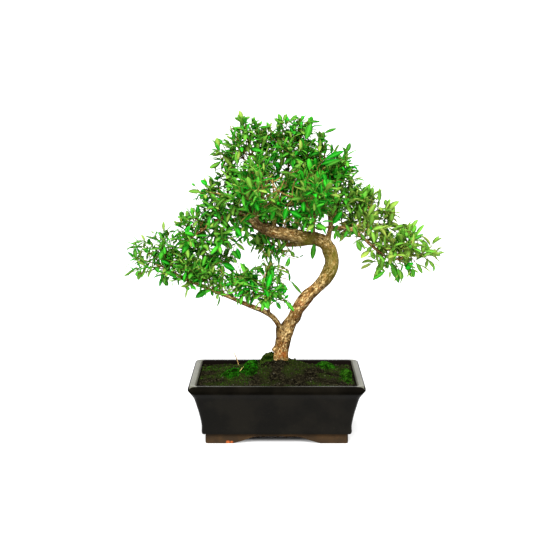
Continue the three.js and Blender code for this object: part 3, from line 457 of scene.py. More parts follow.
        ((29, -10, 235), (29, -10, 231), 0.4, 0.2, 0, 0.1), ((8, -8, 229), (9, -8, 222), 0.36, 0.2, 0, 0.1),
        ((14, -8, 228), (10, -8, 224), 0.3, 0.2, 0, 0.1), ((-2, 2, 263), (6, 2, 258), 0.36, 0.3, 0.8, 0),
    ],
}

# Twigs that bear no leaves, in thin places and at the tips of the crown, by pad: root, elbow, tip. Those of
# the pads in GREEN_TWIGS are young.
BARE_TWIGS = {
    "front_left": [
        ((-29, -30, 287), (-17, -50, 304), (-7, -50, 323)), ((-17, -40, 285), (0, -52, 295), (9, -50, 318)),
        ((-24, -35, 305), (-10, -52, 311), (7, -50, 323)),
        ((-12, -40, 317), (-17, -48, 327), (-23, -46, 336)), ((9, -40, 298), (0, -52, 313), (-10, -52, 320)),
        ((-36, -30, 273), (-26, -50, 290), (-17, -52, 297)),
        ((-14, -40, 297), (-10, -54, 302), (4, -54, 307)), ((-6, -38, 296), (-4, -52, 306), (-5, -52, 321)),
        ((-20, -36, 296), (-14, -52, 304), (-18, -54, 314)),
    ],
    "front_right": [
        ((16, -44, 286), (35, -58, 290), (54, -58, 300)), ((4, -40, 286), (16, -54, 307), (25, -50, 327)),
        ((21, -40, 320), (28, -50, 327), (42, -50, 323)), ((6, -38, 298), (2, -50, 302), (-3, -54, 310)),
    ],
    "left_outer": [
        ((-149, -10, 200), (-159, -10, 202), (-171, -10, 200)),
        ((-128, -6, 243), (-131, -6, 247), (-132, -6, 251)),
    ],
    "left_upper": [((-110, -6, 251), (-108, -6, 260), (-109, -6, 267))],
    "apex_left": [
        ((-52, -4, 366), (-55, -4, 372), (-56, -4, 380)), ((-37, -4, 374), (-45, -4, 376), (-56, -4, 376)),
    ],
    "inner": [
        ((-9, -6, 153), (-11, -6, 160), (-6, -6, 168)), ((-10, -6, 158), (-11, -6, 160), (-14, -6, 161)),
        ((2, -14, 174), (6, -14, 168), (10, -14, 167)),
    ],
}
GREEN_TWIGS = ("inner", "left_outer", "left_upper", "apex_left")

# Places with fewer leaves: middle, reach, share of the leaves that is missing there.
THIN_PLACES = [
    ((-2, -48, 312), (28, 36, 20), 0.8),
    ((150, -8, 228), (60, 60, 44), 0.3),
    ((-46, -14, 213), (22, 40, 16), 0.93),
    ((-12, -16, 214), (22, 24, 8), 0.9),
    ((-97, -8, 304), (12, 50, 18), 0.85),
    ((-76, -8, 327), (12, 50, 12), 0.95),
    ((-50, -4, 372), (9, 40, 9), 0.95),
    ((-62, -6, 364), (9, 40, 10), 0.8),
    ((66, 0, 355), (12, 40, 10), 0.85),
    ((140, 0, 286), (12, 50, 12), 0.8),
    ((119, -10, 213), (14, 40, 12), 0.85),
    ((101, 0, 325), (12, 60, 12), 0.85),
    ((158, 0, 268), (14, 50, 12), 0.8),
    ((-180, -8, 222), (12, 40, 8), 0.8),
    ((24, -14, 208), (10, 30, 12), 0.9),
    ((-13, -10, 155), (8, 30, 9), 0.9),
]

# How much yellower a pad's leaves are than the crown's, and how much larger.
YELLOW = {"right_low": 0.38, "right_up": 0.3, "right_mid": 0.14, "left_outer": 0.05, "left_upper": 0.03,
          "left_inner": 0.02, "apex_left": 0.06}
LEAF_GROWTH = {"right_low": 1.22, "right_up": 1.12, "right_mid": 1.08, "inner": 1.08, "left_outer": 0.9}

# Wood that growth is kept away from, in front: fall of the line of sight, the plane of the trunk that it
# meets, the trunk's height up to which it stays in sight, and the stretch of the low right limb along x.
SIGHT_SLOPE = 0.115
SIGHT_PLANE = -8
SIGHT_TOP = 259
LIMB_IN_SIGHT = (100, 123)
SIGHT_CLEARANCE = 1.5
WOOD_CLEARANCE = 1
BOX_SLACK = 2

# Pot: half sizes of the rim, corner radius and how it tightens with the inset, the foot and the profiles as
# inset and height. The wall's profile runs up the outside, over the rim and down the inside.
POT_HALF = (106, 76)
POT_CORNER = 7
CORNER_LOSS = 0.15
FOOT_INSET = 19.6
FOOT_WALL = 9
HOLLOW_HEIGHT = 9.5
FLOOR_TOP = 17
FOOT_PROFILE = [(FOOT_INSET, 0), (FOOT_INSET, 12)]
WALL_PROFILE = [
    (15.8, 12.4), (15.2, 15), (15.4, 19), (15.2, 24), (13.2, 35), (9.8, 48), (7, 57.5), (4.4, 62),
    (1.5, 66.4), (0, 69), (0.4, 72.4), (2.4, 74.5), (5.2, 74.6), (7.8, 74), (8.8, 73), (10, 69.5),
    (12.8, 60), (16.5, 48), (20.5, 35), (23.5, 20), (26, 17),
]
ARCH_FRONT = (53, 36, 20, 8.8)  # half widths at bottom, waist and top, and height
ARCH_SIDE = (30, 20, 10, 8.8)
ARCH_REACH = (100, 120)  # of the bar that cuts each pair, past the pot's outline
CHIPS = [(-59, -56, 1, 2.6), (-54.5, -56, 1.5, 1.8), (-86, -20, 0.5, 2)]  # in the foot: x, y, z, reach
DRAIN_RADIUS = 7
DRAIN_X = 42

SOIL_EDGE = 70  # height at the wall
SOIL_INSET = 10.4
SOIL_HEAP = 19.5  # further height at the heap's middle
HEAP = (2, 11, 50, 36)  # middle and spread
TRUNK_FOOT = (6, 12)
CRUMBS_OFF = 12  # how far crumbs and loose moss stay off the trunk's middle
FILM_OFF = 9.5
SOIL_LINING = [(16.9, 48.3), (20.9, 35.3), (23.9, 20.3), (26.4, 17.3)]  # inset and height down the wall

# Moss cushions: x, y, half length, half width, height, turn in degrees, share of old growth.
MOSS = {
    "moss_left": (-56, -6, 10.5, 15, 4.5, 10, 0.15),
    "moss_middle": (-33, -2, 10, 19, 6.5, 0, 0.1),
    "moss_by_trunk": (-10, 14, 10.5, 11, 8, 0, 0.85),
    "moss_back_right": (62.5, 40, 11, 17, 5, -10, 0.35),
    "moss_right": (87, -1, 6.5, 34, 5.5, 0, 0.45),
}
MOSS_STRIP = (-80, 40, 17, 9)  # old moss in the back left corner: middle and spread
MOSS_MOUND = (-8, 16, 18, 16)  # and beside the trunk

# Dry bits, root to tip: x, y, z, radius. The straw lies on the moss, the stalk stands at the back.
STRAWS = {
    "dry_straw": [
        (-46.3, -6, 76.8, 0.5), (-42.5, -3, 81, 0.55), (-37.5, -2, 85.6, 0.5), (-33.1, -1, 88.2, 0.35),
    ],
    "dry_stalk": [(-49, 57, 70, 0.45), (-52, 57, 79.5, 0.6), (-55.4, 57, 87.4, 0.45)],
}
STRAW_STATIONS = 13
STRAW_SIDES = 6


# Small helpers: units, random values and mesh making.
def placed(points):
    """Millimetres from the middle of the pot's foot, as metres in the frame."""
    return np.asarray(points, float) * MM + POT_MIDDLE


def unit(vectors):
    return vectors / np.maximum(np.linalg.norm(vectors, axis=-1, keepdims=True), 1e-9)


def dot(a, b):
    return np.sum(a * b, axis=-1, keepdims=True)


def soft_step(values, low, high):
    """0 below low, 1 above high and 3t² - 2t³ between them."""
    t = np.clip((values - low) / (high - low), 0, 1)
    return t * t * (3 - 2 * t)


def grain(points, seed):
    """Smooth random values from 0 to 1: one on each whole-number corner, blended by 3t² - 2t³."""
    cell = np.floor(points).astype(np.int64)
    t = points - cell
    t = t * t * (3 - 2 * t)
    total = np.zeros(len(points))
    for corner in itertools.product((0, 1), repeat=3):
        at = cell + np.array(corner)
        mixed = at[:, 0] * 73856093 ^ at[:, 1] * 19349663 ^ at[:, 2] * 83492791 ^ seed * 2654435761
        mixed = (mixed ^ (mixed >> 13)) * 1274126177 & 0xFFFFFFFF
        value = ((mixed ^ (mixed >> 16)) & 0xFFFF) / 0xFFFF
        total += value * np.prod(np.where(corner, t, 1 - t), axis=1)
    return total


def grid_faces(rows, columns, closed=True):
    """Four-sided faces between the points of a grid stored row by row, each row closed or open."""
    across = np.arange(columns if closed else columns - 1)
    row, column = np.meshgrid(np.arange(rows - 1), across, indexing="ij")
    a = (row * columns + column).ravel()
    b = (row * columns + (column + 1) % columns).ravel()
    return np.stack([a, b, b + columns, a + columns], axis=1)


def surface(name, points, faces):
    """A mesh from points in millimetres and lists of corners."""
    mesh = bpy.data.meshes.new(name)
    mesh.from_pydata(placed(points), [], [list(face) for face in faces])
    return mesh


def in_scene(name, data):
    """A new object of the scene that holds this mesh, lamp or camera."""
    made = bpy.data.objects.new(name, data)
    bpy.context.scene.collection.objects.link(made)
    return made


def add_mesh(name, mesh, material, replaces=(), values=None):
    """One object of the tree from a mesh. values are numbers or vectors, one for each point."""
    for label, numbers in (values or {}).items():
        numbers = np.asarray(numbers, np.float32)
        kind, field = ("FLOAT_VECTOR", "vector") if numbers.ndim == 2 else ("FLOAT", "value")
        mesh.attributes.new(label, kind, "POINT").data.foreach_set(field, numbers.ravel())
    mesh.name = name
    mesh.materials.clear()
    mesh.materials.append(material)
    mesh.update()
    piece = in_scene(name, mesh)
    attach(piece, "root")
    if replaces:
        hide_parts(*replaces)


def add_piece(name, points, faces, material, slot, replaces=(), smooth=True, values=None):
    """One object of the tree from points in millimetres and lists of corners."""
    mesh = surface(name, points, faces)
    mesh.polygons.foreach_set("use_smooth", np.full(len(mesh.polygons), smooth))
    add_mesh(name, mesh, material, replaces, values)


def modified_mesh(points, faces, *changes):
    """The mesh that modifiers make of a closed body. Each change is a modifier's type and settings."""
    body = in_scene("body", surface("body", points, faces))
    for kind, settings in changes:
        modifier = body.modifiers.new(kind, kind)
        for label, value in settings.items():
            setattr(modifier, label, value)
    bpy.context.view_layer.update()
    made = bpy.data.meshes.new_from_object(body.evaluated_get(bpy.context.evaluated_depsgraph_get()))
    bpy.data.objects.remove(body)
    return made


def vertices_of(mesh):
    """A mesh's points in millimetres from the middle of the pot's foot."""
    flat = np.zeros(len(mesh.vertices) * 3)
    mesh.vertices.foreach_get("co", flat)
    return (flat.reshape(-1, 3) - POT_MIDDLE) / MM


# Materials.
def colour(code):
    """A screen colour written as six hexadecimal digits, in the linear values that a shader takes."""
    screen = np.array([int(code[i:i + 2], 16) / 255 for i in (0, 2, 4)])
    linear = np.where(screen <= 0.04045, screen / 12.92, ((screen + 0.055) / 1.055) ** 2.4)
    return (*linear, 1.0)


def start_material(name, roughness, **sockets):
    """A material whose one shader has these values set on its own sockets."""
    material = bpy.data.materials.new(name)
    material.use_nodes = True
    shader = material.node_tree.nodes["Principled BSDF"]
    shader.inputs["Roughness"].default_value = roughness
    for label, value in sockets.items():
        shader.inputs[label.replace("_", " ")].default_value = value
    return material, material.node_tree, shader


def node(tree, kind, inputs=None, **settings):
    made = tree.nodes.new(kind)
    for label, value in settings.items():
        setattr(made, label, value)
    for label, value in (inputs or {}).items():
        if isinstance(value, bpy.types.NodeSocket):
            tree.links.new(value, made.inputs[label])
        else:
            made.inputs[label].default_value = value
    return made


def blend(tree, share, first, second):
    """first where share is 0, second where it is 1. Colours or sockets."""
    return node(tree, "ShaderNodeMix", {0: share, 6: first, 7: second}, data_type="RGBA").outputs[2]


def ramp(tree, value, low, high, start=0.0, end=1.0):
    """start where value is low, end where it is high, smooth between."""
    inputs = {"Value": value, "From Min": low, "From Max": high, "To Min": start, "To Max": end}
    return node(tree, "ShaderNodeMapRange", inputs, interpolation_type="SMOOTHSTEP").outputs["Result"]


def sum_of(tree, operation, first, second):
    return node(tree, "ShaderNodeMath", {0: first, 1: second}, operation=operation).outputs[0]


def clouds(tree, where, scale, detail=4.0, rough=0.55, stretch=None, shift=0.0):
    """Noise at `where`; stretch multiplies each coordinate."""
    if stretch:
        inputs = {"Vector": where, "Scale": stretch, "Location": (shift, shift, shift)}
        where = node(tree, "ShaderNodeMapping", inputs).outputs["Vector"]
    inputs = {"Vector": where, "Scale": scale, "Detail": detail, "Roughness": rough}
    return node(tree, "ShaderNodeTexNoise", inputs).outputs["Fac"]


def own(tree, label, vector=False):
    """A piece's own numbers, point by point."""
    made = node(tree, "ShaderNodeAttribute", attribute_name=label)
    return made.outputs["Vector" if vector else "Fac"]


def object_place(tree):
    return node(tree, "ShaderNodeTexCoord").outputs["Object"]


def bump(tree, shader, height, strength, distance):
    inputs = {"Height": height, "Strength": strength, "Distance": distance}
    normal = node(tree, "ShaderNodeBump", inputs).outputs["Normal"]
    tree.links.new(normal, shader.inputs["Normal"])


def bark_material():
    """Tan flaky bark: brown and orange plates, dark fissures, pale flecks, olive where it stays damp, and
    painted shade on the side turned from the light, under the trunk and at its foot.
    """
    material, tree, shader = start_material("bark", 0.85, Specular_IOR_Level=0.04)
    way = own(tree, "bark_way", vector=True)
    streaks = clouds(tree, way, 1.0, 6.0, 0.68, (0.24, 0.6, 0.6))
    patches = clouds(tree, way, 1.0, 3.0, 0.5, (0.06, 0.12, 0.12), 7.0)
    orange = clouds(tree, way, 1.0, 2.0, 0.5, (0.09, 0.16, 0.16), 19.0)
    flecks = clouds(tree, way, 1.0, 3.0, 0.6, (0.24, 0.46, 0.46), 3.0)
    cracks = clouds(tree, way, 1.0, 3.0, 0.6, (0.2, 0.5, 0.5), 31.0)
    wood = blend(tree, ramp(tree, patches, 0.38, 0.62), colour("7c5c2e"), colour("b0905a"))
    wood = blend(tree, ramp(tree, orange, 0.55, 0.68, 0.0, 0.55), wood, colour("a0622e"))
    wood = blend(tree, ramp(tree, streaks, 0.55, 0.4, 0.0, 0.85), wood, colour("4a3212"))
    wood = blend(tree, own(tree, "fissure"), wood, colour("261805"))
    wood = blend(tree, ramp(tree, flecks, 0.54, 0.64, 0.0, 0.85), wood, colour("e4c88e"))
    wood = blend(tree, ramp(tree, cracks, 0.46, 0.36, 0.0, 0.85), wood, colour("341e06"))
    # Painted shade: near-black brown on the side turned from the light and at the shaded places.
    wood = blend(tree, own(tree, "painted_shade"), wood, colour("1c1205"))
    wood = blend(tree, own(tree, "damp"), wood, colour("5c5a18"))
    wood = blend(tree, own(tree, "red"), wood, colour("8c3c10"))
    wood = blend(tree, own(tree, "scar"), wood, colour("24140a"))
    tree.links.new(wood, shader.inputs["Base Color"])
    bump(tree, shader, streaks, 0.7, 0.001)
    return material


def twig_material():
    """Brown where it is old, green where it is young."""
    material, tree, shader = start_material("twig", 0.75, Specular_IOR_Level=0.05)
    place = object_place(tree)
    streaks = clouds(tree, place, 400.0)
    old = blend(tree, ramp(tree, streaks, 0.4, 0.6), colour("644a26"), colour("a6804a"))
    tree.links.new(blend(tree, own(tree, "age"), colour("4a5e1a"), old), shader.inputs["Base Color"])
    bump(tree, shader, streaks, 0.3, 0.0003)
    return material


def leaf_material():
    """Green with a paler midrib and side veins; young leaves yellower; leaves low on their shoots darker,
    which is partly their age and partly painted shade inside the crown; light passes.
    """
    material, tree, shader = start_material("leaf", 0.42, Specular_IOR_Level=0.03)
    across = own(tree, "across")
    along = own(tree, "along")
    place = object_place(tree)
    mottle = clouds(tree, place, 260.0, 3.0)
    # Shade blends dark to bright green, partly painted shade of the crown's inside.
    green = blend(tree, own(tree, "shade"), colour("0a600a"), colour("20c022"))
    green = blend(tree, own(tree, "youth"), green, colour("aebb56"))
    green = blend(tree, ramp(tree, mottle, 0.4, 0.75, 0.0, 0.3), green, colour("0e7e0a"))
    rib = ramp(tree, across, 0.0, 0.16, 0.55, 0.0)
    slanted = sum_of(tree, "SUBTRACT", along, sum_of(tree, "MULTIPLY", across, 0.12))
    wave = sum_of(tree, "SINE", sum_of(tree, "MULTIPLY", slanted, 44.0), 0.0)
    veins = ramp(tree, wave, 0.8, 1.0, 0.0, 0.18)
    green = blend(tree, sum_of(tree, "MAXIMUM", rib, veins), green, colour("5cc044"))
    tree.links.new(green, shader.inputs["Base Color"])
    bump(tree, shader, sum_of(tree, "MAXIMUM", rib, veins), 0.25, 0.0003)
    through = node(tree, "ShaderNodeBsdfTranslucent", {"Color": green})
    mixed = node(tree, "ShaderNodeMixShader", {0: 0.3, 1: shader.outputs[0], 2: through.outputs[0]})
    tree.links.new(mixed.outputs[0], tree.nodes["Material Output"].inputs["Surface"])
    return material


def from_middle(tree, apart):
    """How far a point lies from the pot's middle along x and along y."""
    offsets = [sum_of(tree, "SUBTRACT", apart[axis], float(POT_MIDDLE[axis])) for axis in (0, 1)]
    return [sum_of(tree, "ABSOLUTE", offset, 0.0) for offset in offsets]


def past_outline(tree, apart, inset=0):
    """How far a point lies past the pot's rim, pulled in by inset, along x and along y; below 0 inside."""
    beside = from_middle(tree, apart)
    return [sum_of(tree, "SUBTRACT", beside[axis], (POT_HALF[axis] - inset) * MM) for axis in (0, 1)]


def ramp_mm(tree, value, low, high, start=0.0, end=1.0):
    """`ramp` between two sizes in millimetres."""
    return ramp(tree, value, low * MM, high * MM, start, end)


# Where the pot's finish changes: each pair of sizes runs from none of it to its full share.
REFLECTION_TOP = (74.1, 74.7)  # height of the rim's edge, painted pale as a reflection
REFLECTION_ENDS = (94, 97)  # from the middle along x, where that edge's painted reflection is strongest
BAND_ENDS = (94.5, 95.5)  # from the middle along x, the band of painted reflection inside the two short sides
BAND_HEIGHT = (70.3, 71.1)
BAND_INSET = (-1.8, -2.6)  # past the rim's outline, so these are inside it
FRONT_FADE = (-100, -89)  # along y, less painted reflection at the front
INSIDE_INSET = (-6.6, -7.4)  # past the outline, the dark wall inside the rim
INSIDE_SHIFT = 2.4  # the short sides of the rim are that much wider
INSIDE_HEIGHT = (57, 61)
MATTE_INSIDE = (94, 90)  # from the middle along x
RIM_FACE_LOW = (62.5, 66)  # heights of the rim's outer face, which mirrors nothing
RIM_FACE_HIGH = (74.4, 73.8)
FOOT_TOP = (12.6, 11.8)  # height below which the clay is bare of glaze
BARE_EDGE = (1.6, 0.8)  # height of the orange clay at the foot's edge
CHIP_REACH = (2.5, 1.5)  # past a chip's own reach
RAGGED = 4  # how far noise moves the edges of bare clay


def glaze_material():
    """Near-black glaze with olive clouds, and a painted reflection, pale and mottled, on the rim's edge and
    inside its short sides.

    The wall inside the rim is dark and matte. The foot is matte clay with a bare orange edge and chips."""
    material, tree, shader = start_material("glaze", 0.22, Specular_IOR_Level=0.07)
    place = object_place(tree)
    apart = node(tree, "ShaderNodeSeparateXYZ", {0: place}).outputs
    height = apart["Z"]
    cloud = clouds(tree, place, 28.0, 5.0)
    fine = clouds(tree, place, 420.0, 3.0)
    glaze = blend(tree, ramp(tree, cloud, 0.4, 0.65), colour("080705"), colour("0f0d09"))
    glaze = blend(tree, ramp(tree, fine, 0.62, 0.75, 0.0, 0.4), glaze, colour("1c1912"))
    along = from_middle(tree, apart)[0]
    past = past_outline(tree, apart)
    ends = ramp_mm(tree, along, *REFLECTION_ENDS, 0.1, 0.85)
    edge = sum_of(tree, "MULTIPLY", ramp_mm(tree, height, *REFLECTION_TOP), ends)
    level = ramp_mm(tree, height, *BAND_HEIGHT, 0.0, 0.75)
    band = sum_of(tree, "MULTIPLY", ramp_mm(tree, along, *BAND_ENDS), level)
    band = sum_of(tree, "MULTIPLY", band, ramp_mm(tree, sum_of(tree, "MAXIMUM", *past), *BAND_INSET))
    weaker = ramp_mm(tree, apart["Y"], *FRONT_FADE, 0.3, 1.0)
    fading = sum_of(tree, "MULTIPLY", weaker, ramp(tree, cloud, 0.35, 0.6, 0.8, 1.0))
    painted_reflection = sum_of(tree, "MULTIPLY", sum_of(tree, "MAXIMUM", edge, band), fading)
    # Painted reflection: the rim's edge and the insides of its short sides are painted pale grey, as the
    # bright room mirrored there.
    glaze = blend(tree, painted_reflection, glaze, colour("6a695e"))
    past[0] = sum_of(tree, "ADD", past[0], INSIDE_SHIFT * MM)
    inside = ramp_mm(tree, sum_of(tree, "MAXIMUM", *past), *INSIDE_INSET)
    inside = sum_of(tree, "MULTIPLY", inside, ramp_mm(tree, height, *INSIDE_HEIGHT))
    glaze = blend(tree, inside, glaze, colour("0e0a08"))
    clay = blend(tree, ramp(tree, cloud, 0.4, 0.62), colour("281e13"), colour("382817"))
    bare = blend(tree, ramp(tree, fine, 0.4, 0.6), colour("6a3216"), colour("9c5228"))
    ragged = sum_of(tree, "MULTIPLY", fine, RAGGED * MM)
    showing = ramp_mm(tree, sum_of(tree, "ADD", height, ragged), *BARE_EDGE)
    for x, y, z, reach in CHIPS:
        inputs = {0: place, 1: tuple(placed((x, y, z)))}
        distance = node(tree, "ShaderNodeVectorMath", inputs, operation="DISTANCE").outputs["Value"]
        low, high = (reach + past_reach for past_reach in CHIP_REACH)
        chip = ramp_mm(tree, sum_of(tree, "ADD", distance, ragged), low, high)
        showing = sum_of(tree, "MAXIMUM", showing, chip)
    clay = blend(tree, showing, clay, bare)
    foot = ramp_mm(tree, height, *FOOT_TOP)
    tree.links.new(blend(tree, foot, glaze, clay), shader.inputs["Base Color"])
    hidden = sum_of(tree, "MULTIPLY", inside, ramp_mm(tree, along, *MATTE_INSIDE))
    under_edge = ramp_mm(tree, height, *RIM_FACE_HIGH)
    rim_face = sum_of(tree, "MULTIPLY", ramp_mm(tree, height, *RIM_FACE_LOW), under_edge)
    tree.links.new(ramp(tree, rim_face, 0.0, 1.0, 0.06, 0.0), shader.inputs["Specular IOR Level"])
    rough = sum_of(tree, "MAXIMUM", ramp(tree, foot, 0.0, 1.0, 0.3, 0.75), hidden)
    tree.links.new(rough, shader.inputs["Roughness"])
    bump(tree, shader, sum_of(tree, "ADD", cloud, sum_of(tree, "MULTIPLY", fine, 0.15)), 0.12, 0.002)
    return material


def soil_material():
    material, tree, shader = start_material("soil", 0.95, Specular_IOR_Level=0.0)
    place = object_place(tree)
    lumps = clouds(tree, place, 320.0, 5.0, 0.65)
    patches = clouds(tree, place, 45.0)
    dark = blend(tree, ramp(tree, patches, 0.4, 0.6), colour("060503"), colour("100e08"))
    earth = blend(tree, ramp(tree, lumps, 0.5, 0.68, 0.0, 0.9), dark, colour("343020"))
    tree.links.new(blend(tree, own(tree, "green"), earth, colour("1a200a")), shader.inputs["Base Color"])
    bump(tree, shader, lumps, 0.8, 0.0012)
    return material


def crumb_material():
    """Crumbs of bark and clay, a few of them pale."""
    material, tree, shader = start_material("crumb", 0.9, Specular_IOR_Level=0.0)
    place = object_place(tree)
    mottle = clouds(tree, place, 900.0)
    brown = blend(tree, ramp(tree, mottle, 0.35, 0.65), colour("070604"), colour("302d20"))
    tree.links.new(blend(tree, own(tree, "paleness"), brown, colour("cfc4ae")), shader.inputs["Base Color"])
    return material


def moss_material():
    material, tree, shader = start_material("moss", 0.9, Specular_IOR_Level=0.0)
    place = object_place(tree)
    patches = clouds(tree, place, 190.0, 3.0)
    fresh = blend(tree, ramp(tree, patches, 0.4, 0.62), colour("0c4603"), colour("1f7a0c"))
    old = blend(tree, ramp(tree, patches, 0.4, 0.62), colour("1c2008"), colour("485020"))
    green = blend(tree, own(tree, "old"), fresh, old)
    # Painted shade: darker down among the tufts, at their roots and in noisy patches.
    green = blend(tree, own(tree, "painted_tuft_shade"), green, colour("0a1a03"))
    tree.links.new(green, shader.inputs["Base Color"])
    return material


def screen_material():
    material, tree, shader = start_material("screen_plastic", 0.55)
    mottle = clouds(tree, object_place(tree), 700.0)
    plastic = blend(tree, mottle, colour("171a17"), colour("2b2f2a"))
    tree.links.new(plastic, shader.inputs["Base Color"])
    bump(tree, shader, mottle, 0.15, 0.0002)
    return material


def straw_material():
    material, tree, shader = start_material("straw", 0.7)
    streaks = clouds(tree, object_place(tree), 500.0, 3.0, 0.5)
    straw = blend(tree, ramp(tree, streaks, 0.35, 0.65), colour("8a6a34"), colour("d0ad6a"))
    tree.links.new(straw, shader.inputs["Base Color"])
    return material


def floor_material():
    """A white table lit from below, which leaves only faint shadows; its light fades out under the pot as a
    painted shadow.
    """
    material, tree, shader = start_material("pale_floor", 0.9, Specular_IOR_Level=0.0, Emission_Strength=0.5)
    shader.inputs["Base Color"].default_value = (0.44, 0.44, 0.44, 1)
    shader.inputs["Emission Color"].default_value = (1, 1, 1, 1)
    apart = node(tree, "ShaderNodeSeparateXYZ", {0: object_place(tree)}).outputs
    past = sum_of(tree, "MAXIMUM", *past_outline(tree, apart, FOOT_INSET))
    # Painted shadow: the glow fades to none under the pot's foot.
    glow_with_painted_shadow = ramp_mm(tree, past, -22, -2, 0.0, 0.5)
    tree.links.new(glow_with_painted_shadow, shader.inputs["Emission Strength"])
    return material


# Wood.
def follow(rows, places):
    """Points, headings and radii at places from 0 to 1 along rows of x, y, z, radius.

    Between rows b and c, with a before and d after them, the value at t is half of
    2b + (c - a)t + (2a - 5b + 4c - d)t² + (3b - a - 3c + d)t³. Past the ends the line goes on straight.
    """
    rows = np.asarray(rows, float)
    padded = np.vstack([2 * rows[0] - rows[1], rows, 2 * rows[-1] - rows[-2]])
    progress = np.clip(np.asarray(places, float), 0, 1) * (len(rows) - 1)
    index = np.minimum(progress.astype(int), len(rows) - 2)
    t = (progress - index)[:, None]
    a, b, c, d = (padded[index + k] for k in range(4))
    square, cube = 2 * a - 5 * b + 4 * c - d, 3 * b - a - 3 * c + d
    point = (2 * b + (c - a) * t + square * t**2 + cube * t**3) / 2
    slope = ((c - a) + 2 * square * t + 3 * cube * t**2) / 2
    return point[:, :3], unit(slope[:, :3]), point[:, 3]


def ring_frame(headings):
    """Two directions square to each heading, from the axis that the headings stay off most."""
    axis = np.eye(3)[np.argmin(np.abs(headings).max(axis=0))]
    across = unit(np.cross(axis, headings))
    return across, np.cross(headings, across)


def lofted(rings):
    """Equal rings joined in turn and closed flat at both ends."""
    count = len(rings[0])
    points = np.vstack(rings)
    faces = grid_faces(len(rings), count).tolist()
    faces.append(list(range(count))[::-1])
    faces.append([len(points) - count + j for j in range(count)])
    return points, faces


def tube(centres, headings, radii, sides, swell=None):
    """Rings of radius(along) x swell(along, around) round a line, closed at both ends."""
    across, other = ring_frame(headings)
    around = np.arange(sides) / sides * 2 * math.pi
    size = radii[:, None] * (1 if swell is None else swell(around))
    spokes = across[:, None] * np.cos(around)[None, :, None] + other[:, None] * np.sin(around)[None, :, None]
    return lofted(centres[:, None] + spokes * size[..., None])


def joined(surfaces):
    """Several surfaces as one: points stacked, faces renumbered."""
    points, faces, start = [], [], 0
    for part_points, part_faces in surfaces:
        points.append(part_points)
        faces.extend([[start + corner for corner in face] for face in part_faces])
        start += len(part_points)
    return np.vstack(points), faces


LIMB_STEPS = 12  # rings between two rows
TRUNK_SIDES = 28
LIMB_SIDES = 16
STUB_STATIONS = 9
STUB_SIDES = 12
WOOD_VOXEL = 0.8
LIT_SIDE = (0, -0.77, 0.64)  # direction from the wood to the light

# Places on the bark: x, y, z, spread.
SCARS = [(-29, -7.5, 159.5, 2.2), (27, -3, 161, 2.6), (-4, 2, 141, 1.6), (48, -13, 238, 2.0)]
RED_PLACES = [(31, 0, 162, 8), (7, 2, 98, 8), (8, 2, 112, 6)]
DAMP_PLACES = [(70, -8, 216, 22), (40, -6, 238, 14), (8, 14, 92, 7), (62, 0, 196, 9)]
# Painted shade: under the horizontal trunk and at the trunk's foot.
SHADED_PLACES = [
    (38, -8, 237, 4.5), (30, -8, 236, 4.5), (22, -7, 235.5, 4.5), (14, -5, 235, 5), (6, 1, 89, 6.5),
]

# Burrs and stubs on the wood: root, elbow, tip, radii at the ends.
STUBS = [
    ((45, -6, 239), (28, -5, 236), (11, -3, 235.2), 3.5, 3.0),
    ((13, -3, 237.5), (3, 2, 234), (-6, 8, 224), 2.5, 1.0),
    ((3, 9, 106), (-2, 8, 103.5), (-5, 8, 100), 5.2, 2.8),
    ((6, 9, 111), (3.2, 9, 119), (2.6, 8, 130), 6.0, 4.2),
]


def trunk_knobs(steps):
    """1 + 0.045 (sin(2a + 0.9 step) + 0.6 sin(3a - 1.7 step)), as on the frame's trunk."""
    def swell(around):
        wide = np.sin(2 * around[None] + 0.9 * steps[:, None])
        return 1 + 0.045 * (wide + 0.6 * np.sin(3 * around[None] - 1.7 * steps[:, None]))
    return swell


def limb_samples(name):
    """Points, headings, radii, lengths so far and rows so far along a limb."""
    rows = LIMBS[name]
    places = np.linspace(0, 1, (len(rows) - 1) * LIMB_STEPS + 1)
    points, headings, radii = follow(rows, places)
    steps = np.linalg.norm(np.diff(points, axis=0), axis=1)
    return points, headings, radii, np.concatenate([[0], np.cumsum(steps)]), places * (len(rows) - 1)


def near(points, places):
    """The largest of exp(-(distance / spread)²) over places of x, y, z, spread."""
    share = np.zeros(len(points))
    for x, y, z, spread in places:
        distance = np.linalg.norm(points - (x, y, z), axis=1)
        share = np.maximum(share, np.exp(-((distance / spread) ** 2)))
    return share


def wood_lines():
    """Every limb's samples in one list, with a search tree over them."""
    samples = [limb_samples(name) for name in LIMBS]
    centres, headings, radii, lengths, _ = (np.concatenate([s[k] for s in samples]) for k in range(5))
    tree = KDTree(len(centres))
    for index, centre in enumerate(centres):
        tree.insert(centre, index)
    tree.balance()
    return centres, headings, radii, lengths, tree


def nearest(tree, points):
    return np.array([tree.find(point)[1] for point in points])


